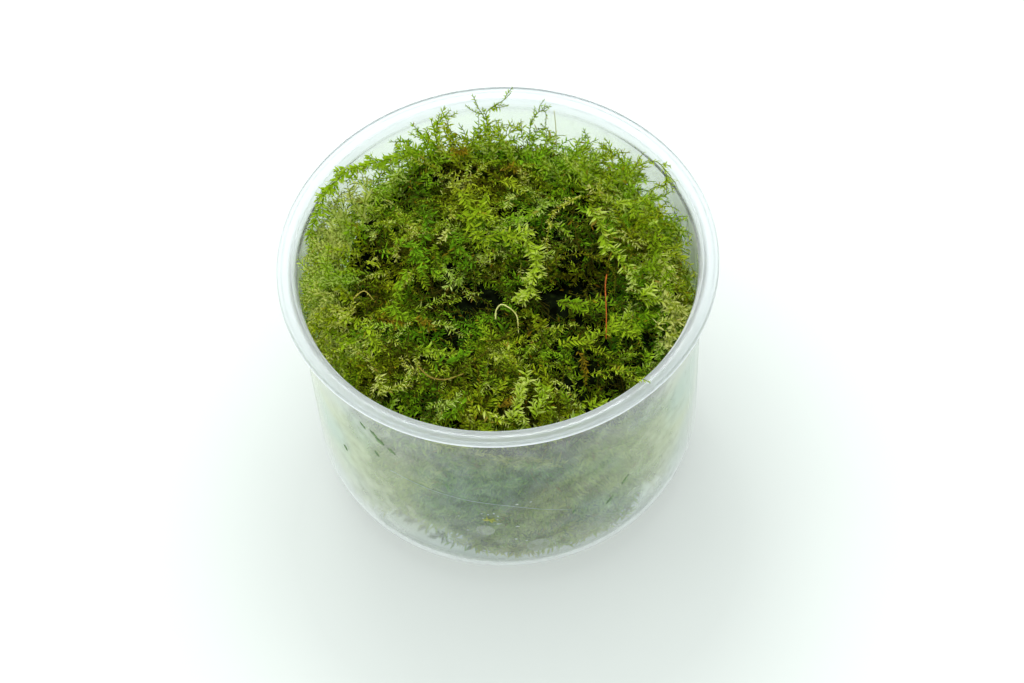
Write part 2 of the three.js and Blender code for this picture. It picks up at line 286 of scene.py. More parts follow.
def polypropylene(haze):
    """Clear injection-moulded polypropylene: a faint, patchy haze, tinted green as painted light from the
    moss behind it and stronger where the wall is seen edge-on, a softer foot and flange, and a bead along the
    rim whose white is a painted highlight."""
    material, tree = new_material("clear_moulded_polypropylene")
    place = add(tree, "ShaderNodeTexCoord").outputs["Object"]
    height = add(tree, "ShaderNodeSeparateXYZ", {0: place}).outputs["Z"]
    level = add(tree, "ShaderNodeVectorMath", {0: place, 1: (1, 1, 0)}, operation="MULTIPLY").outputs[0]
    radius = add(tree, "ShaderNodeVectorMath", {0: level}, operation="LENGTH").outputs["Value"]
    base, foot, top, rim, flange, side, lip, bead = (
        add(tree, "ShaderNodeMapRange", {0: measure, 1: start * MM, 2: full * MM}).outputs[0]
        for measure, (start, full) in (
            (height, BASE_ZONE), (height, FOOT_ZONE), (height, TOP_ZONE), (height, RIM_ZONE),
            (height, FLANGE_ZONE), (height, BEAD_SIDE), (radius, LIP_ZONE), (radius, BEAD_ZONE)))
    lip = add(tree, "ShaderNodeMath", {0: rim, 1: lip}, operation="MULTIPLY").outputs[0]
    # Painted highlight: the lower part of the bead's outer face is near-opaque white, in place of the light
    # that the clear flange carries out to it.
    side = add(tree, "ShaderNodeMapRange", {0: side, 3: 0.25, 4: 1.0}).outputs[0]
    bead = add(tree, "ShaderNodeMath", {0: bead, 1: side}, operation="MULTIPLY").outputs[0]
    # Slow waves left by the mould, 11 mm long, and haze in patches of 17 mm, finer ones of 4 mm where edge-on
    wave = add(tree, "ShaderNodeTexNoise", {"Vector": place, "Scale": 90.0, "Detail": 2.0}).outputs["Fac"]
    bump = add(tree, "ShaderNodeBump", {"Height": wave, "Strength": 0.012, "Distance": 0.3 * MM}).outputs[0]
    breath = add(tree, "ShaderNodeTexNoise", {"Vector": place, "Scale": 60.0, "Detail": 1.0}).outputs["Fac"]
    patch = add(tree, "ShaderNodeTexNoise", {"Vector": place, "Scale": 260.0, "Detail": 3.0}).outputs["Fac"]
    facing = add(tree, "ShaderNodeLayerWeight", {"Blend": 0.5}).outputs["Facing"]
    edge_on = add(tree, "ShaderNodeMath", {0: patch, 1: 0.36, 2: facing}, operation="MULTIPLY_ADD").outputs[0]
    thick = add(tree, "ShaderNodeMapRange", {0: edge_on, 1: 0.60, 2: 0.78, 3: 1.0, 4: 0.78}).outputs[0]
    frost = add(tree, "ShaderNodeMapRange", {0: edge_on, 1: 0.80, 2: 0.98, 3: 1.0, 4: 0.55}).outputs[0]
    thick = add(tree, "ShaderNodeMath", {0: thick, 1: frost}, operation="MULTIPLY").outputs[0]
    clear = add(tree, "ShaderNodeMapRange", {0: breath, 1: 0.38, 2: 0.62, 3: 0.992, 4: 0.968}).outputs[0]
    for zone, share in ((foot, 0.993), (lip, 0.85), (bead, 0.10)):
        clear = add(tree, "ShaderNodeMapRange", {0: zone, 3: clear, 4: share}).outputs[0]
    clear = add(tree, "ShaderNodeMath", {0: clear, 1: thick}, operation="MULTIPLY").outputs[0]
    soft = 0.11
    for zone, rough in ((foot, 0.05), (base, 0.35), (flange, 0.42)):
        soft = add(tree, "ShaderNodeMapRange", {0: zone, 3: soft, 4: rough}).outputs[0]
    cloud = add(tree, "ShaderNodeMapRange", {0: breath, 1: 0.40, 2: 0.60}).outputs[0]
    # Painted light: the haze is tinted green where moss lies behind the wall, for the moss light it would
    # scatter. It is yellower in its cloudy patches, paler near the top, and neutral at the foot and rim.
    tint = haze
    for zone, colour in ((cloud, "#e3efca"), (top, "#eaf1e8"), (foot, "#f3f8f7"), (rim, "#f4f9fb")):
        tint = add(tree, "ShaderNodeMix", {0: zone, 6: tint, 7: linear(colour)}, data_type="RGBA").outputs[2]
    gloss = add(tree, "ShaderNodeMapRange", {0: rim, 3: 0.5, 4: 0.12}).outputs[0]
    shader = add(tree, "ShaderNodeBsdfPrincipled", {
        "Base Color": tint, "Roughness": soft, "IOR": 1.45, "Specular IOR Level": gloss,
        "Transmission Weight": clear, "Normal": bump})
    add(tree, "ShaderNodeOutputMaterial", {"Surface": shader.outputs["BSDF"]})
    return material


# Leaf colours from the darkest, oldest leaf to the palest tip, on olive shoots and on pure green ones. The
# dark end also carries painted shade in the hollows and deep in the tangle.
TONES = (0.0, 0.18, 0.36, 0.54, 0.78, 1.0)
WARM_LEAVES = ("#1a1903", "#444306", "#757d0a", "#a3b418", "#c8d62c", "#e9e78c")
COOL_LEAVES = ("#081504", "#20400a", "#457a0e", "#72b018", "#a6d42a", "#d6ea80")

# How far single leaves and tips may differ from their shoot's tone, from the darkest to the lightest
LEAF_SWING, TIP_SWING = 0.18, 0.24


def moss_leaf(name, translucent, stem_colour, faded_colour):
    """Living moss: leaves one cell thick, so light shines through them; a little damp and glossy."""
    material, tree = new_material(name)
    tone, warmth, shade, along, stem = (
        add(tree, "ShaderNodeAttribute", attribute_name=key).outputs["Fac"]
        for key in ("tone", "warmth", "shade", "leaf_u", "stem"))
    own, tipward = (
        add(tree, "ShaderNodeMath", {0: factor, 1: swing, 2: -swing / 2}, operation="MULTIPLY_ADD").outputs[0]
        for factor, swing in ((shade, LEAF_SWING), (along, TIP_SWING)))
    mixed = add(tree, "ShaderNodeMath", {0: tone, 1: own}, operation="ADD").outputs[0]
    value = add(tree, "ShaderNodeMath", {0: mixed, 1: tipward}, operation="ADD", use_clamp=True).outputs[0]
    warm, cool = ramp(tree, value, zip(TONES, WARM_LEAVES)), ramp(tree, value, zip(TONES, COOL_LEAVES))
    leaf = add(tree, "ShaderNodeMix", {0: warmth, 6: cool, 7: warm}, data_type="RGBA").outputs[2]
    # Faded: about one leaf in thirty, and the whole shoot where its warmth is over 1.2
    single = add(tree, "ShaderNodeMapRange", {0: shade, 1: 0.965, 2: 0.98, 4: 0.8}).outputs[0]
    whole = add(tree, "ShaderNodeMapRange", {0: warmth, 1: 1.2, 2: 1.6, 4: 0.75}).outputs[0]
    faded = add(tree, "ShaderNodeMath", {0: single, 1: whole}, operation="MAXIMUM").outputs[0]
    leaf = add(tree, "ShaderNodeMix", {0: faded, 6: leaf, 7: faded_colour}, data_type="RGBA").outputs[2]
    colour = add(tree, "ShaderNodeMix", {0: stem, 6: leaf, 7: stem_colour}, data_type="RGBA").outputs[2]
    shader = add(tree, "ShaderNodeBsdfPrincipled", {
        "Base Color": colour, "Roughness": 0.45, "Specular IOR Level": 0.04})
    lit = add(tree, "ShaderNodeMix", {0: 0.30, 6: colour, 7: linear("#bfe01c")}, data_type="RGBA").outputs[2]
    thin = add(tree, "ShaderNodeBsdfTranslucent", {"Color": lit})
    both = add(tree, "ShaderNodeMixShader", {0: translucent, 1: shader.outputs[0], 2: thin.outputs[0]})
    add(tree, "ShaderNodeOutputMaterial", {"Surface": both.outputs[0]})
    return material


def bare_stalk(name, stops):
    """A dry, bare moss stalk, or a bit of one: matt, mottled about every millimetre."""
    material, tree = new_material(name)
    place = add(tree, "ShaderNodeTexCoord").outputs["Object"]
    streak = add(tree, "ShaderNodeTexNoise", {"Vector": place, "Scale": 900.0, "Detail": 2.0}).outputs["Fac"]
    shader = add(tree, "ShaderNodeBsdfPrincipled", {
        "Base Color": ramp(tree, streak, stops), "Roughness": 0.5, "Specular IOR Level": 0.15})
    add(tree, "ShaderNodeOutputMaterial", {"Surface": shader.outputs["BSDF"]})
    return material


def shaded_moss():
    """The dense inside of the tangle in painted shade: nearly black in the hollows on top, and a dim green
    painted light at the sides, where light comes in, in clumps of 2 and 4 mm."""
    material, tree = new_material("shaded_moss_depth")
    place = add(tree, "ShaderNodeTexCoord").outputs["Object"]
    small, large = (
        add(tree, "ShaderNodeTexNoise", {"Vector": place, "Scale": scale, "Detail": 3.0}).outputs["Fac"]
        for scale in (600.0, 260.0))
    # Painted shade on top and painted light at the sides, mixed by height below
    top = ramp(tree, small, [(0.40, "#060803"), (0.62, "#10160a"), (0.78, "#222c0e")])
    side = ramp(tree, large, [(0.35, "#5a7a30"), (0.52, "#7a9a3a"), (0.68, "#a8bc50")])
    height = add(tree, "ShaderNodeSeparateXYZ", {0: place}).outputs["Z"]
    upper = add(tree, "ShaderNodeMapRange", {0: height, 1: 43 * MM, 2: 50 * MM}).outputs[0]
    colour = add(tree, "ShaderNodeMix", {0: upper, 6: side, 7: top}, data_type="RGBA").outputs[2]
    shader = add(tree, "ShaderNodeBsdfPrincipled", {
        "Base Color": colour, "Roughness": 1.0, "Specular IOR Level": 0.0})
    add(tree, "ShaderNodeOutputMaterial", {"Surface": shader.outputs["BSDF"]})
    return material


def clear_water():
    """Water: clear and smooth, with the soft edge of a drop on plastic."""
    material, tree = new_material("clear_water_drop")
    # Painted light: a seventh of each drop is matt and near white, to make up for lamp light that the drop
    # keeps off the haze behind it.
    shader = add(tree, "ShaderNodeBsdfPrincipled", {
        "Base Color": linear("#f6fbf4"), "Roughness": 0.20, "IOR": 1.33, "Transmission Weight": 0.86})
    add(tree, "ShaderNodeOutputMaterial", {"Surface": shader.outputs["BSDF"]})
    return material


def pale_paper():
    """Matt paper that is lit from below, darker near the cup as a painted shadow."""
    material, tree = new_material("pale_paper_floor")
    place = add(tree, "ShaderNodeTexCoord").outputs["Object"]
    away = add(tree, "ShaderNodeVectorMath", {0: place, 1: (0, -25 * MM, 0)}, operation="DISTANCE")
    # Painted shadow: the glow is weaker near the cup.
    glow = add(tree, "ShaderNodeMapRange", {
        0: away.outputs["Value"], 1: 45 * MM, 2: 105 * MM, 3: 0.52, 4: 0.82}).outputs[0]
    shader = add(tree, "ShaderNodeBsdfPrincipled", {
        "Base Color": linear("#909691"), "Roughness": 0.8,
        "Emission Color": linear("#f2faf6"), "Emission Strength": glow})
    add(tree, "ShaderNodeOutputMaterial", {"Surface": shader.outputs["BSDF"]})
    return material


# Geometry Nodes: leafy shoots on paths

LEAF_SHAPES = (
    # Sideways lean, half width, curl of the tip and roll of the blade, for a leaf of unit length
    (0.0, 0.16, 0.08, 25),
    (0.14, 0.14, 0.34, 70),
    (-0.16, 0.13, 0.20, 100),
    (0.06, 0.18, -0.14, 50),
)
LEAF_TILT = math.radians(50)

# Where along a leaf its blade has corners: at two places where it is seen near by, at one elsewhere
FINE_LEAF = (0.28, 0.62)
PLAIN_LEAF = (0.42,)


def leaf_shapes(name, stations):
    """Pointed, keeled leaves of unit length that leave their stem along +Z and lean out along +X."""
    group = bpy.data.collections.new(name)
    out, up = math.sin(LEAF_TILT), math.cos(LEAF_TILT)
    for number, (skew, half, curl, roll) in enumerate(LEAF_SHAPES):
        across, rise = math.cos(math.radians(roll)), math.sin(math.radians(roll))

        def place(s, side):
            width = half * math.sin(math.pi * s ** 0.72) ** 0.85 if 0 < s < 1 else 0.0
            lift = curl * s ** 2 + 0.4 * width * abs(side)
            level = side * width + skew * s ** 2
            a, b = level * across - lift * rise, level * rise + lift * across
            return (out * s - up * b, a, up * s + out * b)

        points, along, faces = [place(0, 0)], [0.0], []
        for s in stations:
            points += [place(s, -1), place(s, 0), place(s, 1)]
            along += [s, s * 0.7, s]
        points.append(place(1, 0))
        along.append(1.0)
        tip = len(points) - 1
        faces += [(0, 1, 2), (0, 2, 3)]
        for row in range(len(stations) - 1):
            a, b = 1 + 3 * row, 4 + 3 * row
            faces += [(a, b, b + 1, a + 1), (a + 1, b + 1, b + 2, a + 2)]
        faces += [(tip - 2, tip - 3, tip), (tip - 1, tip - 2, tip)]
        mesh = bpy.data.meshes.new(f"{name}_{number}")
        mesh.from_pydata(points, [], faces)
        layer = mesh.attributes.new("leaf_u", "FLOAT", "POINT")
        layer.data.foreach_set("value", along)
        group.objects.link(bpy.data.objects.new(mesh.name, mesh))
    return group


def shoot_tree(name, leaves):
    """Leaves to both sides of each path, shorter at both ends, and a thin stem."""
    tree = bpy.data.node_groups.new(name, "GeometryNodeTree")
    face = tree.interface
    face.new_socket("Geometry", in_out="INPUT", socket_type="NodeSocketGeometry")
    for label, kind, value in (
        ("Leaf spacing", "NodeSocketFloat", 0.3 * MM),
        ("Leaf length", "NodeSocketFloat", 1.3 * MM),
        ("Stem radius", "NodeSocketFloat", 0.09 * MM),
        ("Leaf share", "NodeSocketFloat", 0.9),
        ("Seed", "NodeSocketInt", 1),
        ("Material", "NodeSocketMaterial", None),
    ):
        socket = face.new_socket(label, in_out="INPUT", socket_type=kind)
        if value is not None:
            socket.default_value = value
    face.new_socket("Geometry", in_out="OUTPUT", socket_type="NodeSocketGeometry")
    given = add(tree, "NodeGroupInput").outputs
    paths = add(tree, "GeometryNodeMeshToCurve", {0: given["Geometry"]}).outputs[0]
    rows = add(tree, "GeometryNodeResampleCurve", {
        "Curve": paths, "Length": given["Leaf spacing"]}, mode="LENGTH").outputs[0]
    level = add(tree, "GeometryNodeSetCurveNormal", {0: rows}, mode="Z_UP").outputs[0]
    factor = add(tree, "GeometryNodeSplineParameter").outputs["Factor"]
    marked = add(tree, "GeometryNodeStoreNamedAttribute", {
        "Geometry": level, "Name": "along", "Value": factor}, data_type="FLOAT", domain="POINT").outputs[0]
    points = add(tree, "GeometryNodeCurveToPoints", {0: marked}, mode="EVALUATED").outputs
    along, vigour, girth = (
        add(tree, "GeometryNodeInputNamedAttribute", {"Name": key}, data_type="FLOAT").outputs[0]
        for key in ("along", "vigour", "girth"))
    index = add(tree, "GeometryNodeInputIndex").outputs[0]
    own = {"ID": index, "Seed": given["Seed"]}
    # Leaves stand in two rows, each a little turned and nodding
    jitter = add(tree, "FunctionNodeRandomValue", {2: -0.75, 3: 0.75, **own}, data_type="FLOAT").outputs[1]
    side = add(tree, "ShaderNodeMath", {0: index, 1: math.pi, 2: jitter}, operation="MULTIPLY_ADD").outputs[0]
    twist = add(tree, "FunctionNodeAxisAngleToRotation", {"Axis": (0, 0, 1), "Angle": side}).outputs[0]
    sway = add(tree, "FunctionNodeRandomValue", {
        0: (-0.35, -0.35, 0), 1: (0.35, 0.35, 0), **own}, data_type="FLOAT_VECTOR").outputs[0]
    nod = add(tree, "FunctionNodeEulerToRotation", {0: sway}).outputs[0]
    facing = points["Rotation"]
    for turn in (twist, nod):
        turned = add(tree, "FunctionNodeRotateRotation", {0: facing, 1: turn}, rotation_space="LOCAL")
        facing = turned.outputs[0]
    # Leaves are longest just past a quarter of the way along a shoot
    arch = add(tree, "ShaderNodeMath", {0: along, 1: 0.72, 2: 0.30}, operation="MULTIPLY_ADD").outputs[0]
    swell = add(tree, "ShaderNodeMath", {0: arch, 1: math.pi}, operation="MULTIPLY").outputs[0]
    sine = add(tree, "ShaderNodeMath", {0: swell}, operation="SINE").outputs[0]
    size = add(tree, "ShaderNodeMath", {0: sine, 1: 0.55, 2: 0.45}, operation="MULTIPLY_ADD").outputs[0]
    luck = add(tree, "FunctionNodeRandomValue", {2: 0.7, 3: 1.25, **own}, data_type="FLOAT").outputs[1]
    for factor in (luck, vigour, given["Leaf length"]):
        size = add(tree, "ShaderNodeMath", {0: size, 1: factor}, operation="MULTIPLY").outputs[0]
    kept = add(tree, "FunctionNodeRandomValue", {
        "Probability": given["Leaf share"], **own}, data_type="BOOLEAN").outputs[3]
    shapes = add(tree, "GeometryNodeCollectionInfo", {
        "Collection": leaves, "Separate Children": True, "Reset Children": True}).outputs[0]
    which = add(tree, "FunctionNodeRandomValue", {
        4: 0, 5: len(LEAF_SHAPES) - 1, **own}, data_type="INT").outputs[2]
    placed = add(tree, "GeometryNodeInstanceOnPoints", {
        "Points": points["Points"], "Selection": kept, "Instance": shapes, "Pick Instance": True,
        "Instance Index": which, "Rotation": facing, "Scale": size}).outputs[0]
    shade = add(tree, "FunctionNodeRandomValue", {
        2: 0.0, 3: 1.0, "Seed": given["Seed"]}, data_type="FLOAT").outputs[1]
    shaded = add(tree, "GeometryNodeStoreNamedAttribute", {
        "Geometry": placed, "Name": "shade", "Value": shade}, data_type="FLOAT", domain="INSTANCE").outputs[0]
    thick = add(tree, "GeometryNodeSetCurveRadius", {"Curve": paths, "Radius": girth}).outputs[0]
    ring = add(tree, "GeometryNodeCurvePrimitiveCircle", {
        "Resolution": 3, "Radius": given["Stem radius"]}).outputs[0]
    stems = add(tree, "GeometryNodeCurveToMesh", {
        "Curve": thick, "Profile Curve": ring, "Fill Caps": True}).outputs[0]
    woody = add(tree, "GeometryNodeStoreNamedAttribute", {
        "Geometry": stems, "Name": "stem", "Value": 0.5}, data_type="FLOAT", domain="POINT").outputs[0]
    joined = add(tree, "GeometryNodeJoinGeometry")
    for part in (shaded, woody):
        tree.links.new(part, joined.inputs[0])
    real = add(tree, "GeometryNodeRealizeInstances", {0: joined.outputs[0]}).outputs[0]
    painted = add(tree, "GeometryNodeSetMaterial", {"Geometry": real, "Material": given["Material"]})
    add(tree, "NodeGroupOutput", {0: painted.outputs[0]})
    return tree


PATH_VALUES = ("tone", "warmth", "vigour", "girth")


def leaf_sizes(seed, length=1.0, spacing=1.0, stem=1.0, share=0.9):
    """Inputs of the shoot tree: the sizes in the sidebar, each times a factor."""
    settings = bpy.context.scene.moss_cup
    return {
        "Leaf length": settings.leaf_length * length, "Leaf spacing": settings.leaf_spacing * spacing,
        "Stem radius": settings.stem_radius * stem, "Leaf share": share, "Seed": seed,
    }


def grow_shoots(name, kind, material, bundles, sizes):
    """Grows leafy shoots of a kind on paths, inside the cup. A bundle holds paths, as shoots x points x 3,
    and their PATH_VALUES."""
    tree = bpy.data.node_groups[kind]
    points, edges = [], []
    stores = [[] for _ in PATH_VALUES]
    count = 0
    for paths, *values in bundles:
        shoots, steps, _ = paths.shape
        first = count + np.arange(shoots)[:, None] * steps + np.arange(steps - 1)
        edges.append(np.stack([first, first + 1], -1).reshape(-1, 2))
        points.append(paths.reshape(-1, 3))
        count += shoots * steps
        for store, value in zip(stores, values):
            store.append(np.repeat(np.broadcast_to(value, shoots), steps))
    mesh = bpy.data.meshes.new(name + "_paths")
    mesh.from_pydata((np.concatenate(points) * MM).tolist(), np.concatenate(edges).tolist(), [])
    for key, store in zip(PATH_VALUES, stores):
        layer = mesh.attributes.new(key, "FLOAT", "POINT")
        layer.data.foreach_set("value", np.concatenate(store).astype(np.float32))
    obj = bpy.data.objects.new(name, mesh)
    bpy.context.collection.objects.link(obj)
    grower = obj.modifiers.new("grow", "NODES")
    grower.node_group = tree
    inputs = {**sizes, "Material": bpy.data.materials[material]}
    for item in tree.interface.items_tree:
        if item.in_out == "INPUT" and item.name in inputs:
            grower[item.identifier] = inputs[item.name]
    graph = bpy.context.evaluated_depsgraph_get()
    grown = bpy.data.meshes.new_from_object(
        obj.evaluated_get(graph), preserve_all_data_layers=True, depsgraph=graph)
    obj.modifiers.clear()
    obj.data = grown
    grown.name = name
    press_inside(grown)
    return obj


def press_inside(mesh):
    """Leaves that meet the wall or the floor of the cup lie flat against it."""
    flat = np.empty(len(mesh.vertices) * 3, np.float32)
    mesh.vertices.foreach_get("co", flat)
    place = flat.reshape(-1, 3) / MM
    over_recess = np.hypot(place[:, 0], place[:, 1]) < RECESS_RADIUS + 1
    place[:, 2] = np.maximum(place[:, 2], WALL + LEAF_GAP + RECESS_DEPTH * over_recess)
    radius = np.hypot(place[:, 0], place[:, 1])
    limit = inside_radius(place[:, 2], LEAF_GAP)
    past_wall = (place[:, 2] < CUP_HEIGHT + 0.2) & (radius > limit)
    place[:, :2] *= np.where(past_wall, limit / np.maximum(radius, 1e-6), 1.0)[:, None]
    mesh.vertices.foreach_set("co", (place * MM).astype(np.float32).ravel())
    mesh.update()


# Paths of shoots

def wander(rng, x, y, heading, length, bend, steps):
    """Curved tracks seen from above."""
    s = np.linspace(0, 1, steps)
    wriggle = 0.5 * rng.normal(size=(len(x), 1)) * np.sin(2 * math.pi * s)
    turn = heading[:, None] + bend[:, None] * s + wriggle
    stride = (length / (steps - 1))[:, None]
    dx = np.cumsum(np.cos(turn[:, :-1]) * stride, axis=1)
    dy = np.cumsum(np.sin(turn[:, :-1]) * stride, axis=1)
    zero = np.zeros((len(x), 1))
    return x[:, None] + np.hstack([zero, dx]), y[:, None] + np.hstack([zero, dy])


def crown_paths(rng, count, length, depth, lift, gap=0.0, steps=7):
    """Shoots that root in the tangle and come up to its top. Where the noise is under the gap, none grow."""
    tries = count * 3 if gap else count
    turns = rng.permutation(tries)
    radius = CROWN_ROOTS * np.sqrt((turns + rng.random(tries)) / tries)
    angle = turns * GOLDEN_ANGLE + rng.normal(0, 0.02, tries)
    x, y = radius * np.cos(angle), radius * np.sin(angle)
    open_here = over_moss(x, y, 3.6, 7, 8.3) > gap + 1.1 * (gap > 0) * hollow_at(x, y)
    open_here &= rng.random(tries) > 0.75 * thin_at(x, y)
    x, y = x[open_here][:count], y[open_here][:count]
    count = len(x)
    flow = 2.6 * math.pi * over_moss(x, y, 11, 0, 3.7)
    heading = flow + rng.normal(0, 0.9, count)
    size = rng.uniform(*length, count)
    px, py = wander(rng, x, y, heading, size, rng.normal(0, 1.1, count), steps)
    px, py = held_within(px, py, MOSS_EDGE_RADIUS)
    s = np.linspace(0, 1, steps)[None, :]
    low = rng.uniform(*depth, count)[:, None]
    high = rng.normal(*lift, count)[:, None]
    droop = rng.uniform(0, 1.2, count)[:, None]
    height = -low * (1 - s) ** 1.4 + high * s - droop * s ** 3
    return np.stack([px, py, moss_top(px, py) + height], -1)


def thin_at(x, y):
    """How thin the tangle is at its left margin, where it stands off the wall and light comes through."""
    return ease(np.hypot(x, y), THIN_START, THIN_WIDTH) * near_angle(
        np.degrees(np.arctan2(y, x)), THIN_ANGLE, THIN_SPREAD)


def hollow_at(x, y):
    """How far a point lies in one of the dark hollows of the moss, from 0 to 1."""
    depth = np.zeros_like(x)
    for sx, sy, width, across, dark in DARK_HOLLOWS:
        away = ((x - sx) / width) ** 2 + ((y - sy) / across) ** 2
        depth = np.maximum(depth, dark * np.exp(-0.5 * away))
    return depth


def side_branches(rng, paths, share, length, steps=4):
    """Short branches off the shoots, leaning towards the tip."""
    shoots, many, _ = paths.shape
    chosen = np.nonzero(rng.random((shoots, many - 2)) < share)
    start = paths[chosen[0], chosen[1] + 1]
    ahead = paths[chosen[0], chosen[1] + 2] - paths[chosen[0], chosen[1]]
    ahead /= np.linalg.norm(ahead, axis=1, keepdims=True)
    across = np.cross(ahead, rng.normal(size=ahead.shape))
    across /= np.linalg.norm(across, axis=1, keepdims=True)
    size = rng.uniform(*length, len(start))[:, None]
    s = np.linspace(0, 1, steps)[None, :, None]
    way = ahead[:, None] * (0.55 * s + 0.35 * s ** 2) + across[:, None] * (0.85 * s - 0.3 * s ** 2)
    return start[:, None] + way * size[:, None], chosen[0]


def tone_at(rng, x, y, base, spread):
    """Patches of lighter and darker moss, lighter at the edge and a little darker towards the front, with
    painted light at the sides and most at the thin margin, where light comes in, and painted shade in the
    hollows. Each shoot has a little of its own, and one in eight is pale."""
    own = rng.normal(0, 0.18, len(x)) + 0.28 * (rng.random(len(x)) < 0.12)
    patch = over_moss(x, y, PATCH_SIZE, 40, 1.5) - 0.5
    edge = 0.10 * ease(np.hypot(x, y), 28, 9)
    # Painted light: lighter at the sides and most at the thin margin, where light comes in. Painted shade:
    # darker in the hollows.
    sides = np.maximum(0.18 * ease(np.abs(x), 27, 8), 0.80 * thin_at(x, y))
    front = 0.09 * ease(-y, 13, 10)
    return np.minimum(base + spread * patch + edge + sides - front - 0.5 * hollow_at(x, y) + own, 0.94)


def warmth_at(rng, x, y):
    """Patches of olive and of pure green moss."""
    patch = over_moss(x, y, PATCH_SIZE, 90, 4.5)
    return np.clip(0.5 + 1.7 * (patch - 0.48) + rng.normal(0, 0.2, len(x)), 0, 1)


def curve_through(points, steps):
    """A smooth line through control points (Catmull-Rom), with so many steps from one to the next."""
    points = np.asarray(points, float)
    held = np.vstack([2 * points[0] - points[1], points, 2 * points[-1] - points[-2]])
    t = np.linspace(0, 1, steps, endpoint=False)[:, None]
    out = []
    for a, b, c, d in zip(held, held[1:], held[2:], held[3:]):
        out.append(0.5 * (2 * b + (c - a) * t + (2 * a - 5 * b + 4 * c - d) * t ** 2
                          + (3 * b - a - 3 * c + d) * t ** 3))
    return np.vstack([*out, points[-1:]])


def on_moss(points):
    """Points given as x, y and their height over the moss."""
    x, y, lift = np.asarray(points, float).T
    return np.stack([x, y, moss_top(x, y) + lift], -1)


def fringe_paths(rng, count, sector, start, rise, steps=8):
    """Loose shoots that rise out of the moss near its edge and lean outwards."""
    angle = np.radians(rng.uniform(*sector, count))
    start = rng.uniform(*start, count)
    x, y = start * np.cos(angle), start * np.sin(angle)
    heading = angle + rng.normal(0, 0.8, count)
    px, py = wander(rng, x, y, heading, rng.uniform(5, 11, count), rng.normal(0, 1.2, count), steps)
    px, py = held_within(px, py, FRINGE_REACH)
    s = np.linspace(0, 1, steps)[None, :]
    rise = rng.uniform(*rise, count)[:, None]
    droop = rng.uniform(0, 2.5, count)[:, None]
    height = -1.5 + (1.5 + rise) * np.sin(0.5 * math.pi * s) - droop * s ** 3
    level = 0.55 * moss_top(x, y)[:, None] + 0.45 * moss_top(px, py)
    return np.stack([px, py, np.minimum(level + height, CUP_HEIGHT + 2.5)], -1)


def foot_reach(angle, z):
    """How far out the moss reaches near the foot, where it stands back and light shows through."""
    edge = FOOT_EDGE + FOOT_EDGE_RAGGED * round_cup(angle, 6, 40, 3.5)
    for place, spread, rise in FOOT_GAPS:
        edge = edge + rise * near_angle(np.degrees(angle), place, spread)
    ragged = 2.4 * (round_cup(angle, 26, 60, z / 2) - 0.5)
    return CORNER_RADIUS + edge * SLOPE - WALL - FOOT_STEP_BACK * np.maximum(0, edge - z) + ragged


def flank_paths(rng, count, length, inset, steps=6):
    """Shoots that lie against the cup's wall, seen through it."""
    angle = rng.random(count) * 2 * math.pi
    top = moss_top(MOSS_EDGE_RADIUS * np.cos(angle), MOSS_EDGE_RADIUS * np.sin(angle))
    level = 3 + (top - 4) * rng.random(count) ** 0.95
    heading = rng.random(count) * 2 * math.pi
    size = rng.uniform(*length, count)
    pu, pz = wander(rng, angle * UNROLLED_RADIUS, level, heading, size, rng.normal(0, 1.2, count), steps)
    turn = pu / UNROLLED_RADIUS
    rim_x, rim_y = MOSS_EDGE_RADIUS * np.cos(turn), MOSS_EDGE_RADIUS * np.sin(turn)
    limit = moss_top(rim_x, rim_y)
    pz = np.clip(pz, 1.6, np.maximum(limit - 0.5, 2))
    depth = rng.uniform(*inset, (count, 1)) + 0.5 * rng.random((count, steps))
    # Shoots stand back from the wall between clumps, and more so under the thin margin
    hollow = 2.4 * np.clip(round_cup(turn, 9, 20, pz / 6) - 0.45, 0, 1)
    hollow = hollow + 5.0 * thin_at(rim_x, rim_y) * np.clip((pz - limit + 14) / 8, 0, 1)
    radius = np.minimum(inside_radius(pz, depth + hollow), foot_reach(turn, pz) - 0.7 * depth)
    return np.stack([radius * np.cos(turn), radius * np.sin(turn), pz], -1)


def floor_paths(rng, count, length, steps=5):
    """Shoots that lie on the floor of the cup and come up a little in its rounded corner."""
    radius = FLOOR_ROOTS * np.sqrt(rng.random(count))
    angle = rng.random(count) * 2 * math.pi
    x, y = radius * np.cos(angle), radius * np.sin(angle)
    px, py = wander(rng, x, y, rng.random(count) * 2 * math.pi, rng.uniform(*length, count),
                    rng.normal(0, 1.0, count), steps)
    reach = np.minimum(np.hypot(px, py), FLOOR_REACH)
    px, py = held_within(px, py, FLOOR_REACH)
    drop = np.clip((reach - ROUNDING_CENTRE) / (FOOT_ROUNDING - WALL), 0, 0.98)
    bottom = FOOT_ROUNDING - (FOOT_ROUNDING - WALL) * np.sqrt(1 - drop ** 2)
    return np.stack([px, py, bottom + RECESS_DEPTH + rng.uniform(0.4, 2.0, (count, steps))], -1)


# Pieces

def ring_faces(sides, rows):
    """Faces round rows of points, from the bottom up, closed by a first and a last point."""
    faces, last = [], 1 + sides * rows
    for n in range(sides):
        m = (n + 1) % sides
        faces.append((0, 1 + m, 1 + n))
        for a in range(1, last - sides, sides):
            b = a + sides
            faces.append((a + n, a + m, b + m, b + n))
        faces.append((last - sides + n, last - sides + m, last))
    return faces


def revolve(profile, sides):
    """A solid turned from its profile of (radius, z), which starts and ends on the axis."""
    profile = np.asarray(profile, float)
    turn = np.arange(sides) / sides * 2 * math.pi
    radius, z = profile[:, 0][:, None], profile[:, 1][:, None]
    rings = np.stack([radius * np.cos(turn), radius * np.sin(turn), z + 0 * turn], -1)
    points = [(0, 0, profile[0, 1])] + rings[1:-1].reshape(-1, 3).tolist() + [(0, 0, profile[-1, 1])]
    return points, ring_faces(sides, len(profile) - 2)


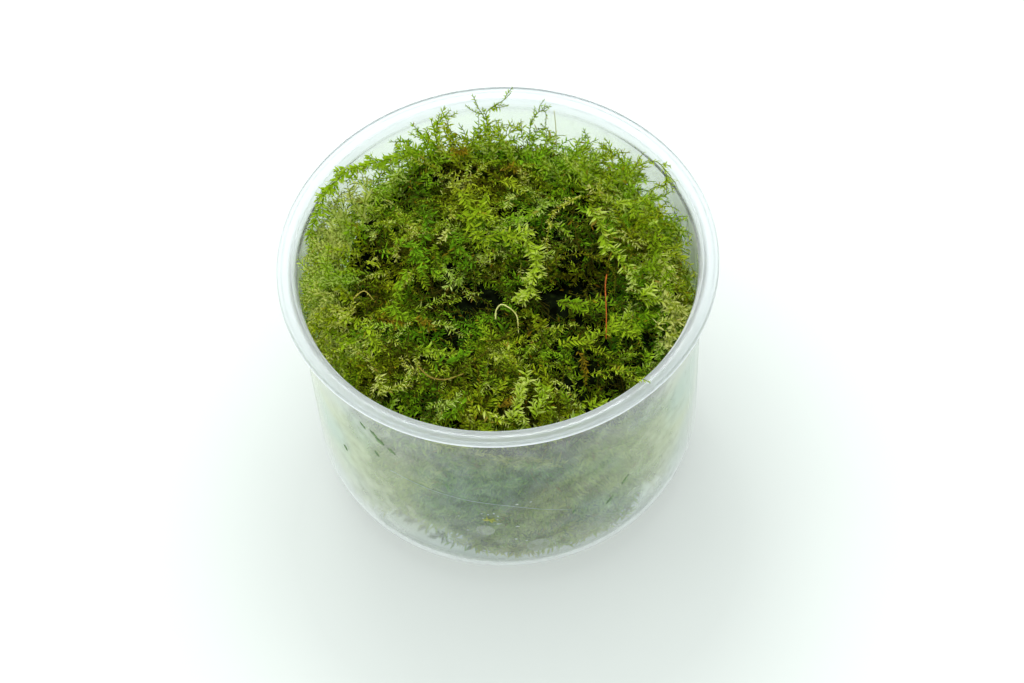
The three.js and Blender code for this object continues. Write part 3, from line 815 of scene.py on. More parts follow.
def shaded_inside(sides=120, below=3.4):
    """The dense inside of the tangle, as a closed form under its top, inside its flanks and over its foot,
    which carries painted shade.
    """
    turn = np.arange(sides) / sides * 2 * math.pi
    cos, sin = np.cos(turn), np.sin(turn)
    rings = []
    edge = MOSS_EDGE_RADIUS - below - 4.5 * thin_at(MOSS_EDGE_RADIUS * cos, MOSS_EDGE_RADIUS * sin)
    for share in np.linspace(0.4, 1, 22) ** 0.9:
        x, y = share * edge * cos, share * edge * sin
        ripple = 1.6 * (over_moss(x, y, 2.5, 0, 6.5) - 0.5)
        rings.append(np.stack([x, y, moss_top(x, y) - below + ripple], -1))
    level = moss_top(edge * cos, edge * sin) - below - 1
    for share in np.linspace(0, 1, 16)[1:]:
        z = level + (FOOT_ROUNDING - level) * share
        inset = 2.6 + 2.2 * round_cup(turn, 9, 20, z / 3.5)
        radius = np.minimum(inside_radius(z, inset), foot_reach(turn, z) - 0.8 * inset)
        radius = np.minimum(radius, edge + 9 * share)
        rings.append(np.stack([radius * cos, radius * sin, z], -1))
    reach = FOOT_ROUNDING - WALL - 3.2
    for share in np.linspace(0, 1, 7)[1:]:
        angle = share * math.pi / 2
        z = FOOT_ROUNDING - reach * math.sin(angle)
        radius = np.minimum(ROUNDING_CENTRE + reach * math.cos(angle), foot_reach(turn, z) - 2.4)
        rings.append(np.stack([radius * cos, radius * sin, z + 0 * turn], -1))
    top = [[0, 0, float(moss_top(np.array(0.0), np.array(0.0))) - below]]
    low = [[0, 0, rings[-1][0, 2]]]
    # The rings run from the top down, so their faces are turned over
    faces = [face[:1] + face[:0:-1] for face in ring_faces(sides, len(rings))]
    return np.concatenate([top, *rings, low]), faces


def on_wall(angle, z, u, v, lift):
    """A point on the outside of the cup's wall: u along the wall and v up it from an angle and height."""
    height = z + v
    radius = inside_radius(height, -WALL) + lift
    turn = math.radians(angle) + u / radius
    return (float(radius * math.cos(turn)), float(radius * math.sin(turn)), height)


# A leaf that is stuck to the wall: its corners as shares of its length and of its width
FLAKE_CORNERS = ((-0.5, 0), (-0.15, -0.5), (0.2, -0.42), (0.5, 0), (0.2, 0.42), (-0.15, 0.5))
FLAKE_UNDER, FLAKE_TOP = 0.02, 0.09


def flakes(rows):
    """Small flat pieces on the wall: angle and height of each, then its length, width and lean."""
    points, faces = [], []
    for angle, z, length, width, lean in rows:
        outline = []
        for along, side in FLAKE_CORNERS:
            u = length * along * math.cos(lean) - width * side * math.sin(lean)
            v = length * along * math.sin(lean) + width * side * math.cos(lean)
            outline.append((u, v))
        first = len(points)
        for lift in (FLAKE_UNDER, FLAKE_TOP):
            points += [on_wall(angle, z, u, v, lift) for u, v in outline]
        faces += [tuple(first + 5 - n for n in range(6)), tuple(first + 6 + n for n in range(6))]
        faces += [(first + n, first + (n + 1) % 6, first + 6 + (n + 1) % 6, first + 6 + n) for n in range(6)]
    return points, faces


def drops(rows, sides=24):
    """Flat drops of water on the wall: angle and height of each, and its radius."""
    points, faces = [], []
    for angle, z, radius in rows:
        first, bulge = len(points), 0.015 * radius
        for share in (1.0, 0.8, 0.45):
            for n in range(sides):
                turn = 2 * math.pi * n / sides
                u, v = radius * share * math.cos(turn), radius * share * math.sin(turn)
                points.append(on_wall(angle, z, u, v, bulge * (1 - share ** 2) + 0.01))
        points += [on_wall(angle, z, 0, 0, bulge + 0.01), on_wall(angle, z, 0, 0, 0.005)]
        inner, tip = first + 2 * sides, first + 3 * sides
        for n in range(sides):
            m = (n + 1) % sides
            for a in (first, first + sides):
                b = a + sides
                faces.append((a + n, a + m, b + m, b + n))
            faces += [(inner + n, inner + m, tip), (first + m, first + n, tip + 1)]
    return points, faces


def tube(path, radius, sides=8):
    """A round stem along a path, a little thinner at its far end, closed at both ends."""
    points, faces = [], []
    ahead = np.gradient(path, axis=0)
    ahead /= np.linalg.norm(ahead, axis=1, keepdims=True)
    side = np.cross(ahead[0], (0.31, 0.27, 0.91))
    for row, (place, way) in enumerate(zip(path, ahead)):
        side = side - way * np.dot(side, way)
        side /= np.linalg.norm(side)
        up = np.cross(way, side)
        share = row / (len(path) - 1)
        girth = radius * (1 - 0.35 * share)
        for n in range(sides):
            turn = 2 * math.pi * n / sides
            points.append(tuple(place + girth * (math.cos(turn) * side + math.sin(turn) * up)))
    for row in range(len(path) - 1):
        a, b = row * sides, (row + 1) * sides
        for n in range(sides):
            m = (n + 1) % sides
            faces.append((a + n, a + m, b + m, b + n))
    faces.append(tuple(reversed(range(sides))))
    faces.append(tuple(range(len(points) - sides, len(points))))
    return points, faces


def round_off(corners, steps=5):
    """A profile with each inner corner (radius, z, rounding) turned into an arc."""
    out = [corners[0][:2]]
    for before, (r, z, rounding), after in zip(corners, corners[1:], corners[2:]):
        here = Vector((r, z))
        back, ahead = Vector(before[:2]) - here, Vector(after[:2]) - here
        reach = min(rounding, 0.45 * back.length, 0.45 * ahead.length)
        if reach < 1e-4:
            out.append((r, z))
            continue
        a, b = here + back.normalized() * reach, here + ahead.normalized() * reach
        for n in range(steps + 1):
            t = n / steps
            p = a * (1 - t) ** 2 + here * 2 * t * (1 - t) + b * t ** 2
            out.append((p.x, p.y))
    out.append(corners[-1][:2])
    return out


def rounding_arc(inset, start, end, steps=14):
    """The large rounding between the wall and the foot, as corners of a profile."""
    reach = FOOT_ROUNDING - inset
    angles = [start + (end - start) * n / steps for n in range(steps + 1)]
    return [
        (ROUNDING_CENTRE + reach * math.cos(a), FOOT_ROUNDING - reach * math.sin(a), 0.0) for a in angles]


def cup_profile():
    """The cup's profile from the axis under its foot, up the outside, over the rim and down the inside."""
    top = CUP_HEIGHT
    neck = top - NECK_DEPTH
    under = top - FLANGE_THICKNESS
    outer, inner = wall_radius(neck, 0), wall_radius(neck, WALL)
    corners = [
        (0, RECESS_DEPTH, 0),
        (RECESS_RADIUS, RECESS_DEPTH, 0.5),
        (RECESS_RADIUS + RECESS_DEPTH, 0, 0.4),
        *rounding_arc(0, math.pi / 2, DRAFT),
        (outer, neck, 0.6),
        (outer + 0.45, neck + 0.8, 0.5),
        (outer + 1.1, under, 0.4),
        (RIM_RADIUS - BEAD_WIDTH, under, 0.2),
        (RIM_RADIUS - BEAD_WIDTH, top - BEAD_HEIGHT, 0.15),
        (RIM_RADIUS, top - BEAD_HEIGHT, 0.3),
        (RIM_RADIUS, top, 0.45),
        (MOUTH_RADIUS, top, 0.3),
        (MOUTH_RADIUS, top - 0.7, 0.4),
        (inner, neck + 0.2, 0.6),
        *rounding_arc(WALL, DRAFT, math.pi / 2),
        (RECESS_RADIUS, WALL, 0.4),
        (RECESS_RADIUS - RECESS_DEPTH, WALL + RECESS_DEPTH, 0.4),
        (0, WALL + RECESS_DEPTH, 0),
    ]
    return round_off(corners)


# Sprigs with leaves, in millimetres: name, slot, tone, warmth, vigour, share of side branches, lines
LEAFY_SPRIGS = (
    ("back_curly_sprig", "moss_green", 0.68, 0.50, 0.70, 0.30, [
        [(0, 32, 52), (0.3, 33.7, 55), (-0.1, 35.6, 59.5), (1.4, 36.5, 61), (3.5, 37, 62), (5.2, 38, 63)],
        [(-0.1, 35, 58.5), (-1, 36, 60), (-2, 37.3, 61.3)],
    ]),
    ("back_left_sprig", "moss_green", 0.72, 0.55, 1.0, 0.60, [
        [(-10, 27, 52), (-10, 28.4, 54), (-10.2, 30.2, 58.5), (-9.7, 33.4, 60.5), (-7, 35.7, 62)],
    ]),
    ("back_hooked_sprig", "moss_green", 0.66, 0.45, 0.70, 0.35, [
        [(8.2, 30, 53), (8.4, 32.8, 57.5), (10.1, 34.3, 60.5), (11.7, 34, 61.2), (11.6, 32, 59.5)],
    ]),
    ("left_arching_sprig", "moss_pale", 0.74, 0.42, 1.25, 0.95, [
        [(-9, 29.5, 53.5), (-14.1, 29.2, 57), (-19.3, 27.7, 58), (-24.7, 25.5, 59), (-29.7, 22.7, 59.6),
         (-32.8, 18.6, 59.6), (-35.4, 13.5, 57.5), (-36, 8, 53), (-35, 3, 50)],
    ]),
    ("right_back_sprig", "moss_green", 0.72, 0.50, 0.75, 0.45, [
        [(27.5, 20, 52.5), (26.6, 22.6, 57), (24.0, 24.3, 59), (22, 25.5, 59.5)],
    ]),
    ("right_looped_sprig", "moss_pale", 0.80, 0.60, 0.75, 0.40, [
        [(25.5, 18, 54), (27, 20, 57), (29.5, 20.6, 59), (32.6, 19.6, 61), (34.3, 17.2, 60.2),
         (33.9, 15.4, 58.6), (31.6, 16, 56.8), (30, 14, 54)],
    ]),
    ("yellow_stalk", "moss_pale", 0.88, 1.0, 0.60, 0.30, [
        on_moss([(17.5, 14.5, 1.6), (14, 12.2, 1.2), (11, 9.5, 1.2), (10.4, 6, 1.0), (9.6, 2.4, 0.6)]),
    ]),
    ("crest_sprig", "moss_yellow", 0.82, 0.50, 1.25, 0.85, [
        on_moss([(3.4, 4.5, 0.8), (6, 3.4, 1.0), (7.4, 0.5, 1.0), (7.2, -3, 1.0), (6, -7.5, 0.9),
                 (4.6, -9.5, 0.5)]),
    ]),
    ("hollow_edge_stem", "stem_brown", 0.46, 0.95, 0.50, 0.20, [
        [(9.6, -1.6, 57.8), (13, 0.2, 58.3), (17, 0.6, 58.2), (20.3, -1, 58), (22.4, -4.6, 57.6),
         (22, -9, 57.6)],
    ]),
    ("right_pale_sprig", "moss_pale", 1.0, 0.75, 1.1, 0.75, [
        on_moss([(31.7, 1.5, 0.8), (32.6, -3.6, 1.0), (31.8, -7.4, 1.0), (32.2, -10.9, 1.0), (33.4, -13, 1.0),
                 (32.9, -15.8, 1.0), (31.6, -18.6, 0.6)]),
    ]),
    ("bent_sprig", "moss_yellow", 0.70, 0.50, 0.75, 0.35, [
        on_moss([(15.5, -22, 0.6), (17.5, -20, 1.2), (21.5, -17.6, 1.4), (24.4, -16.6, 1.8),
                 (26.2, -18, 1.6)]),
    ]),
    ("bright_sprig", "moss_yellow", 0.76, 0.35, 0.90, 0.50, [
        on_moss([(-17, -18.6, 0.8), (-12.8, -20.3, 1.1), (-8.6, -23.3, 0.8)]),
    ]),
    ("front_left_pale_sprig", "moss_pale", 0.92, 0.8, 0.70, 0.50, [
        on_moss([(-24.2, -22.8, 1.2), (-24.1, -26, 1.4), (-20.4, -26, 1.2), (-17.6, -24.2, 0.8)]),
    ]),
    ("front_pale_sprig", "moss_pale", 0.84, 0.5, 1.0, 0.50, [
        on_moss([(3.3, -28, 0.9), (2.3, -31, 1.1), (1.8, -33.6, 1.1), (3, -36.2, 0.8)]),
    ]),
    ("rim_sprig", "moss_yellow", 0.72, 0.6, 0.62, 0.45, [
        [(16, -27, 57), (18.6, -27.8, 58.8), (21.6, -28.4, 59.6), (23.8, -30, 60.2), (24.8, -31.4, 60.6)],
    ]),
)

# Bare stalks and stems: name, slot, radius, streaks of colour, vigour of the few leaves on it, line
BARE_STALKS = (
    ("back_bare_stalk", "moss_pale", 0.13, [(0.3, "#b3ba84"), (0.7, "#d5d8b0")], 0,
     [(13.4, 30, 53), (13.6, 32.7, 57), (13.5, 34.7, 60.5)]),
    ("red_stalk", "stem_red", 0.14, [(0.3, "#8a4410"), (0.7, "#c0641e")], 0,
     [(20.9, -4.4, 57.6), (20.4, -8, 59), (20.2, -12, 60), (20, -16, 60.3), (19.6, -20.2, 58.6)]),
    ("curled_stem", "moss_pale", 0.15, [(0.3, "#a9ac4e"), (0.7, "#d6d98c")], 0.38,
     on_moss([(-1.2, -14, 0.5), (-0.9, -12.6, 1.6), (0.4, -11.8, 2), (2.8, -14, 1.6), (3, -17.6, 0.6)])),
    ("brown_stem", "stem_brown", 0.16, [(0.3, "#6b5a1a"), (0.7, "#9b8a3a")], 0.36,
     on_moss([(-17.2, -21.6, 0.6), (-14.8, -25.6, 0.9), (-11.7, -26.8, 0.9), (-8, -25.6, 0.5)])),
    ("tan_stem", "stem_brown", 0.13, [(0.3, "#8a7f2c"), (0.7, "#bfb058")], 0.42,
     on_moss([(-28.6, -5.4, 0.5), (-26.2, -4.2, 1.2), (-24.4, -6.4, 0.6)])),
)

# Layers of shoots on the top: name, kind, share of their number, length, depth of their roots, how high they
# come and how much that differs, least noise where they grow, least hollow that they keep out of, clear space
# round sprigs and stalks, tone and vigour
# The lower layers have darker tones, as painted shade deep in the tangle.
CROWN_LAYERS = (
    ("moss_crown_under", "plain_shoots", 0.34, (6, 12), (4.0, 6.0), (-2.7, 0.8), 0.0, 0.82, 0, 0.20, 1.3),
    ("moss_crown_shoots", "plain_shoots", 0.34, (6, 12), (2.5, 4.5), (-0.9, 1.0), 0.38, 0.64, 0, 0.38, 1.05),
    ("moss_crown_tips", "fine_shoots", 0.22, (4, 10), (2.5, 4.0), (1.3, 1.2), 0.52, 0.64, 1.2, 0.73, 1.0),
)

# Shoots pressed against the inside of the wall: tone, warmth, line as angles and heights
WALL_SHOOTS = (
    (1.02, 0.8, [(-100.7, 50.2), (-96.1, 50.0), (-90.7, 48.4), (-84.5, 46.8)]),
    (0.98, 0.9, [(-98.0, 48.6), (-92.6, 47.0), (-87.0, 46.2)]),
    (0.96, 0.9, [(-116.8, 31.9), (-113.9, 37.4), (-110.6, 42.5)]),
    (0.92, 1.0, [(-84.1, 46.7), (-80.5, 44.2), (-76.7, 42.6)]),
    (0.72, 0.4, [(-64.6, 43.0), (-57.9, 40.8), (-50.4, 38.1)]),
    (0.70, 0.3, [(-113.4, 47.6), (-107.6, 46.6), (-102.1, 44.8)]),
    (0.70, 0.7, [(-77.6, 19.7), (-71.5, 15.0), (-65.0, 14.8)]),
    (0.66, 0.5, [(-145.5, 22.8), (-144.3, 20.0), (-141.8, 18.1)]),
    (0.86, 1.0, [(-99.2, 26.0), (-97.8, 26.4), (-96.4, 26.2)]),
    (0.86, 1.0, [(-98.4, 25.4), (-97.6, 27.2)]),
    (0.85, 0.9, [(-110.5, 17.0), (-108.5, 16.2), (-106.0, 15.6)]),
    (0.90, 0.7, [(-104.0, 14.8), (-101.7, 14.0), (-99.5, 13.8)]),
    (0.75, 1.0, [(-79.5, 17.6), (-76.1, 18.3), (-73.0, 18.6)]),
    (0.95, 0.8, [(-113.0, 51.0), (-107.5, 51.4), (-101.5, 51.6)]),
)

# On the outside of the wall: angle and height, then length, width and lean of each leaf
STRAY_LEAVES = (
    (-135.7, 46.3, 1.9, 0.5, -0.7),
    (-131.7, 45.8, 2.2, 0.9, -0.6),
    (-129.8, 44.4, 2.4, 1.3, -0.5),
    (-125.9, 43.0, 2.0, 0.8, -0.6),
    (-131.8, 38.7, 1.7, 0.6, -0.9),
    (-146.7, 29.9, 1.6, 0.6, -0.9),
    (-56.1, 27.5, 2.8, 0.5, 0.9),
    (-61.5, 23.5, 2.6, 0.5, 0.8),
    (-73.2, 24.9, 1.4, 0.5, 1.2),
)

# Angles and heights along a pale thread, its radius, and the places of two drops with their radii
THREAD_RADIUS = 0.06
PALE_THREAD = (
    (-127.7, 35.3), (-119.4, 34.8), (-111.8, 34.0), (-103.1, 33.1), (-94.5, 32.1), (-83.2, 29.2),
    (-73.8, 25.9),
)
WATER_DROPS = ((-99.4, 22.2, 1.9), (-84.2, 15.6, 2.3))

# A yellow bit of moss on the wall, in the same terms as the leaves
YELLOW_SPECK = (
    (-98.0, 26.3, 1.9, 0.5, 0.1),
    (-97.0, 26.6, 1.3, 0.35, 0.8),
    (-99.2, 26.1, 1.2, 0.35, -0.5),
    (-97.4, 25.7, 1.1, 0.35, -1.0),
    (-98.6, 26.9, 1.1, 0.3, 1.8),
    (-96.6, 26.0, 0.9, 0.3, -0.2),
)

# Specks of water on the wall, drawn as pale matt flecks that are painted glints, in the same terms as the
# leaves
PALE_FLECKS = (
    (-95.3, 24.9, 1.1, 0.35, 0.1),
    (-89.9, 23.7, 0.9, 0.3, -0.1),
    (-89.7, 32.0, 0.7, 0.35, 0.2),
    (-90.7, 18.9, 0.6, 0.35, 0.0),
    (-87.6, 18.0, 0.6, 0.35, 0.3),
    (-85.7, 32.4, 0.5, 0.25, 0.4),
    (-104.6, 21.7, 0.6, 0.3, 0.2),
    (-106.9, 26.6, 0.5, 0.3, 0.9),
    (-100.0, 28.6, 0.45, 0.3, 0.3),
    (-99.8, 26.8, 0.4, 0.3, 1.0),
    (-98.2, 28.3, 0.45, 0.3, 0.0),
    (-96.5, 28.8, 0.4, 0.3, -0.3),
    (-95.4, 27.8, 0.5, 0.3, -0.6),
    (-95.6, 26.6, 0.4, 0.3, -1.0),
)

# Name, rows, material, its streaks of colour and slot
WALL_MARKS = (
    ("stray_leaves", STRAY_LEAVES, "dark_stray_leaf", [(0.3, "#6a8760"), (0.7, "#8aa674")], "moss_green"),
    # Next row: painted glints of tiny drops of water, as pale flecks
    ("water_specks", PALE_FLECKS, "pale_water_specks", [(0.3, "#b9c9b4"), (0.7, "#dde7d8")], "clear_plastic"),
    ("yellow_speck", YELLOW_SPECK, "yellow_moss_speck", [(0.3, "#9ba83c"), (0.7, "#c8cc70")], "moss_yellow"),
)

# Loose shoots at the edge: how many, between which angles, distances from the axis and heights over the moss
FRINGE_GROUPS = (
    (110, (-30, 210), (25, 34), (1.0, 4.0)),
    (60, (145, 195), (29, 35), (2.5, 7.0)),
    (30, (15, 60), (27, 34), (3.0, 6.0)),
    (22, (75, 125), (28, 33), (3.0, 6.5)),
)

# Long shoots that lie on the moss: tone, warmth, vigour, line seen from above
LONG_SHOOTS = (
    (0.62, 0.6, 1.0, [(-0.8, 17.1), (-1.8, 14.1), (-3.1, 12.1), (-4.8, 9.8)]),
    (0.66, 0.6, 1.0, [(-6.3, 18.5), (-4.9, 14.1), (-4.8, 9.8), (-3.9, 5.3), (-1.3, 2.5)]),
    (0.66, 0.6, 1.0, [(-4.8, 9.8), (-1.9, 5.7), (0.9, 5.8), (3.4, 4.3)]),
    (0.62, 0.3, 0.9, [(-17.2, -0.1), (-19.1, -2.6), (-19.7, -6), (-21.4, -9.8)]),
    (0.62, 0.3, 0.9, [(-20.9, -6.9), (-19.9, -9.8), (-17.6, -11.8)]),
    (0.68, 0.6, 0.9, [(-32.7, -4.8), (-30.2, -9.1), (-26.9, -12), (-23.7, -17.1), (-21.5, -18.7)]),
    (0.62, 0.5, 0.9, [(-37.4, -4.6), (-33.3, -9.8), (-29.5, -14.1), (-26.1, -17.9)]),
    (0.60, 0.1, 0.9, [(-24.3, 6.3), (-19.7, 5.6), (-16.3, 5.3), (-14, 0.5), (-11.3, -2.1)]),
    (0.30, 0.7, 0.7, [(-10.2, -25.4), (-6.7, -23.2), (-3.5, -20.8), (-0.6, -18.3), (1.8, -16.3)]),
    (0.64, 0.5, 1.0, [(26.9, 14.2), (28.5, 10.2), (30.2, 6.5), (31.3, 3.4)]),
    (0.52, 0.2, 1.0, [(11.5, -10), (14.3, -11.1), (17.1, -12.4), (19.8, -12.6)]),
    (0.64, 0.7, 0.9, [(10.7, -20.6), (13.1, -19.2), (16.1, -20.6), (18.2, -23)]),
    (0.72, 0.5, 0.9, [(15.1, -32.2), (17.5, -31.2), (19.7, -31.5)]),
    (0.50, 0.2, 1.1, [(-7.1, -29.2), (-9.5, -30.5), (-11.2, -32.8)]),
    (0.50, 0.1, 1.1, [(-14.3, -22.1), (-11.4, -23.2), (-8.1, -22.3), (-6.5, -20)]),
    (0.72, 0.4, 0.9, [(6.4, -28.1), (7.1, -30.6), (7.1, -33.4)]),
    (0.66, 0.0, 0.8, [(5.9, 23.7), (8, 25.9), (9.9, 25.5), (11.3, 22.2)]),
    (0.74, 0.8, 0.8, [(1.7, 20.2), (4, 19.4), (5.9, 18.3)]),
    (0.45, 0.1, 1.0, [(-14.3, 15.6), (-13, 10.6), (-13.9, 5.6), (-16, 0.6)]),
    (0.50, 0.1, 1.0, [(-9.2, 8.1), (-7.4, 4.4), (-5.3, 0.5)]),
    (0.10, 0.0, 0.6, [(-4.5, 3.0), (-4.7, -1.0), (-4.4, -5.0), (-4.7, -9.0)]),
    (0.82, 0.4, 1.1, [(18.5, 12.8), (20.6, 7.6), (21.5, 3.1), (23.7, -1.1), (26.6, -3.6)]),
    (0.68, 0.5, 0.9, [(20.1, -18.0), (22.1, -16.7), (24.0, -16.9), (25.5, -16.9)]),
    (0.74, 0.6, 1.1, [(-6.0, 17.8), (-3.8, 14.7), (-1.7, 11.9), (-0.5, 8.8)]),
    (0.86, 0.7, 0.9, [(-5.7, -31.1), (-3.6, -33.0), (-1.2, -34.4)]),
    (0.98, 0.8, 0.9, [(31.0, -9.7), (32.3, -10.2), (33.6, -10.5), (34.9, -11.1)]),
    (0.98, 0.8, 0.9, [(29.3, -15.4), (31.0, -14.0), (32.8, -13.0), (34.3, -13.4)]),
    (0.95, 0.8, 0.9, [(31.0, -15.6), (32.5, -16.2), (33.8, -14.9)]),
    (0.82, 0.5, 1.2, [(26.9, -9.6), (28.2, -8.7), (29.4, -7.8)]),
    (0.80, 0.5, 1.1, [(26.3, -10.2), (27.7, -9.8), (29.5, -9.2)]),
    (0.56, 0.45, 0.9, [(10.7, -9.6), (12.6, -10.3), (14.4, -11.3), (16.7, -12.0), (18.7, -11.3)]),
    (0.88, 0.5, 1.1, [(0.5, -34.5), (1.5, -31.5), (2.9, -28.7), (4.2, -27.0)]),
    (0.84, 0.4, 1.0, [(4.9, -34.6), (5.7, -31.6), (6.3, -28.8)]),
    (0.92, 0.7, 1.0, [(-24.8, -21.5), (-24.2, -23.8), (-23.6, -26.0)]),
    (0.82, 0.5, 1.1, [(23.2, 12.8), (25.9, 14.0), (28.8, 13.5)]),
    (0.50, 1.6, 0.8, [(-23.8, -10.7), (-20.6, -11.5), (-16.1, -11.6), (-12.6, -13.6)]),
    (0.52, 1.6, 0.9, [(-8.6, 29.0), (-6.6, 29.5), (-5.0, 30.0)]),
    (0.42, 1.6, 0.6, [(14.0, -22.0), (15.0, -24.1), (15.6, -26.4)]),
    (0.50, 1.6, 0.6, [(-1.8, -32.1), (-0.5, -32.0), (0.9, -31.6)]),
    (0.54, 1.6, 0.8, [(1.8, 23.1), (4.3, 23.7), (6.6, 23.1)]),
)

# Lights: name, place, width and power
SOFTBOXES = (
    ("overhead_softbox", (-40, 200, 950), 900, 6.5),
    ("back_softbox", (-150, 850, 420), 500, 3.5),
    ("front_softbox", (100, -750, 500), 600, 1.6),
    ("left_softbox", (-850, -100, 380), 500, 1.6),
)
LIGHTS_AIM = (0, 0, 30)


# Settings, operators and panel

class MossCupSettings(bpy.types.PropertyGroup):
    """Sizes, numbers and colours of the cup of moss"""
    leaf_length: bpy.props.FloatProperty(
        name="Leaf length", description="Length of one moss leaf", default=1.35 * MM, unit="LENGTH")
    leaf_spacing: bpy.props.FloatProperty(
        name="Leaf spacing", description="Distance from leaf to leaf along a shoot",
        default=0.305 * MM, unit="LENGTH")
    stem_radius: bpy.props.FloatProperty(
        name="Stem radius", description="Radius of a moss stem", default=0.09 * MM, unit="LENGTH")
    crown_shoots: bpy.props.IntProperty(
        name="Crown shoots", description="Shoots on the top of the moss", default=2400)
    flank_shoots: bpy.props.IntProperty(
        name="Flank shoots", description="Shoots against the cup's wall", default=2300)
    floor_shoots: bpy.props.IntProperty(
        name="Floor shoots", description="Shoots on the floor of the cup", default=440)
    # The green of this tint is painted light from the moss behind the wall.
    plastic_haze_and_moss_light: bpy.props.FloatVectorProperty(
        name="Plastic haze", description="Tint of the cup's wall",
        default=linear("#d4ebd8"), size=4, min=0, max=1, subtype="COLOR")
    stem_colour: bpy.props.FloatVectorProperty(
        name="Stem colour", description="Colour of the stems between the leaves",
        default=linear("#6f6420"), size=4, min=0, max=1, subtype="COLOR")
    faded_colour: bpy.props.FloatVectorProperty(
        name="Faded leaf colour", description="Colour of the few old, brown leaves",
        default=linear("#a37c1c"), size=4, min=0, max=1, subtype="COLOR")


class MOSSCUP_OT_leaves(bpy.types.Operator):
    """Makes the leaf shapes, the two kinds of shoot that carry them, and the moss they are made of"""
    bl_idname = "mosscup.leaves"
    bl_label = "Leaves"

    def execute(self, context):
        settings = context.scene.moss_cup
        shoot_tree("plain_shoots", leaf_shapes("plain_leaf", PLAIN_LEAF))
        shoot_tree("fine_shoots", leaf_shapes("fine_leaf", FINE_LEAF))
        for name, translucent in (("living_moss", 0.42), ("thin_moss_tips", 0.68)):
            moss_leaf(name, translucent, tuple(settings.stem_colour), tuple(settings.faded_colour))
        return {"FINISHED"}


class MOSSCUP_OT_stage(bpy.types.Operator):
    """Sets the pale floor, the soft lights and the camera"""
    bl_idname = "mosscup.stage"
    bl_label = "Stage"

    def execute(self, context):
        half, z = 1500, -0.05
        corners = [(-half, -half, z), (half, -half, z), (half, half, z), (-half, half, z)]
        mesh_object("floor", corners, [(0, 1, 2, 3)], pale_paper(), False)
        world = bpy.data.worlds.new("soft_white_room")
        world.use_nodes = True
        context.scene.world = world
        room = world.node_tree.nodes["Background"].inputs
        room["Color"].default_value = linear("#f6faff")
        room["Strength"].default_value = 0.58
        for name, place, width, power in SOFTBOXES:
            light = bpy.data.lights.new(name, "AREA")
            light.shape, light.size, light.energy = "DISK", width * MM, power
            lamp = bpy.data.objects.new(name, light)
            lamp.location = Vector(place) * MM
            beam = Vector(LIGHTS_AIM) * MM - lamp.location
            lamp.rotation_euler = beam.to_track_quat("-Z", "Y").to_euler()
            context.collection.objects.link(lamp)
        context.scene.view_settings.view_transform = "Standard"
        camera = bpy.data.cameras.new("camera")
        camera.sensor_width = 36.0
        camera.lens = FOCAL_PIXELS * camera.sensor_width / VIEW_WIDTH
        camera.clip_start, camera.clip_end = 0.01, 10.0
        obj = bpy.data.objects.new("camera", camera)
        back = Vector((0, -math.cos(VIEW_ELEVATION), math.sin(VIEW_ELEVATION)))
        right = Vector((1, 0, 0))
        level = Matrix((right, back.cross(right), back)).transposed()
        centre_x, centre_y = RIM_CENTRE_PIXEL
        seen = Vector((centre_x - VIEW_WIDTH / 2, VIEW_HEIGHT / 2 - centre_y, -FOCAL_PIXELS))
        aim = Vector((0, 0, -1)).rotation_difference(seen).to_matrix()
        turn = level @ Matrix.Rotation(VIEW_ROLL, 3, "Z").transposed() @ aim.transposed()
        place = Vector((0, 0, CUP_HEIGHT)) + back * VIEW_DISTANCE
        obj.matrix_world = Matrix.Translation(place * MM) @ turn.to_4x4()
        context.collection.objects.link(obj)
        context.scene.camera = obj
        return {"FINISHED"}


class MOSSCUP_OT_cup(bpy.types.Operator):
    """Turns the clear plastic cup"""
    bl_idname = "mosscup.cup"
    bl_label = "Cup"

    def execute(self, context):
        points, faces = revolve(cup_profile(), 192)
        plastic = polypropylene(tuple(context.scene.moss_cup.plastic_haze_and_moss_light))
        finish_piece(mesh_object("clear_cup", points, faces, plastic), "clear_plastic", "cup")
        return {"FINISHED"}


class MOSSCUP_OT_depth(bpy.types.Operator):
    """Fills the dense inside of the tangle with a form in painted shade"""
    bl_idname = "mosscup.depth"
    bl_label = "Dark inside"

    def execute(self, context):
        points, faces = shaded_inside()
        finish_piece(mesh_object("moss_depths", points, faces, shaded_moss()), "moss_green", "moss_tangle")
        return {"FINISHED"}


class MOSSCUP_OT_crown(bpy.types.Operator):
    """Grows the shoots on the top of the moss"""
    bl_idname = "mosscup.crown"
    bl_label = "Crown shoots"

    def execute(self, context):
        rng = np.random.default_rng(SEED)
        lines = [run for row in LEAFY_SPRIGS for run in row[-1]] + [row[-1] for row in BARE_STALKS]
        standing = np.concatenate([curve_through(line, 5)[:, :2] for line in lines])
        for seed, layer in enumerate(CROWN_LAYERS, 3):
            name, kind, share, length, depth, lift, gap, hollow, clear, base, vigour = layer
            count = int(context.scene.moss_cup.crown_shoots * share)
            paths = crown_paths(rng, count, length, depth, lift, gap)
            paths = paths[hollow_at(paths[..., 0], paths[..., 1]).max(axis=1) < hollow]
            if clear:
                apart = np.linalg.norm(paths[:, 3:, None, :2] - standing, axis=-1).min(axis=(1, 2))
                paths = paths[apart > clear]
            middle = paths[:, 3]
            tone = tone_at(rng, middle[:, 0], middle[:, 1], base, 0.5)
            warmth = warmth_at(rng, middle[:, 0], middle[:, 1])
            size = vigour * rng.uniform(0.7, 1.15, len(paths))
            twigs, owner = side_branches(rng, paths, 0.24, (1.8, 4.0))
            bundles = [
                (paths, tone, warmth, size, 1.0),
                (twigs, tone[owner] + 0.06, warmth[owner], size[owner] * TWIG_VIGOUR, 0.7),
            ]
            obj = grow_shoots(name, kind, "living_moss", bundles, leaf_sizes(seed))
            finish_piece(obj, "moss_green", "moss_tangle")
        return {"FINISHED"}


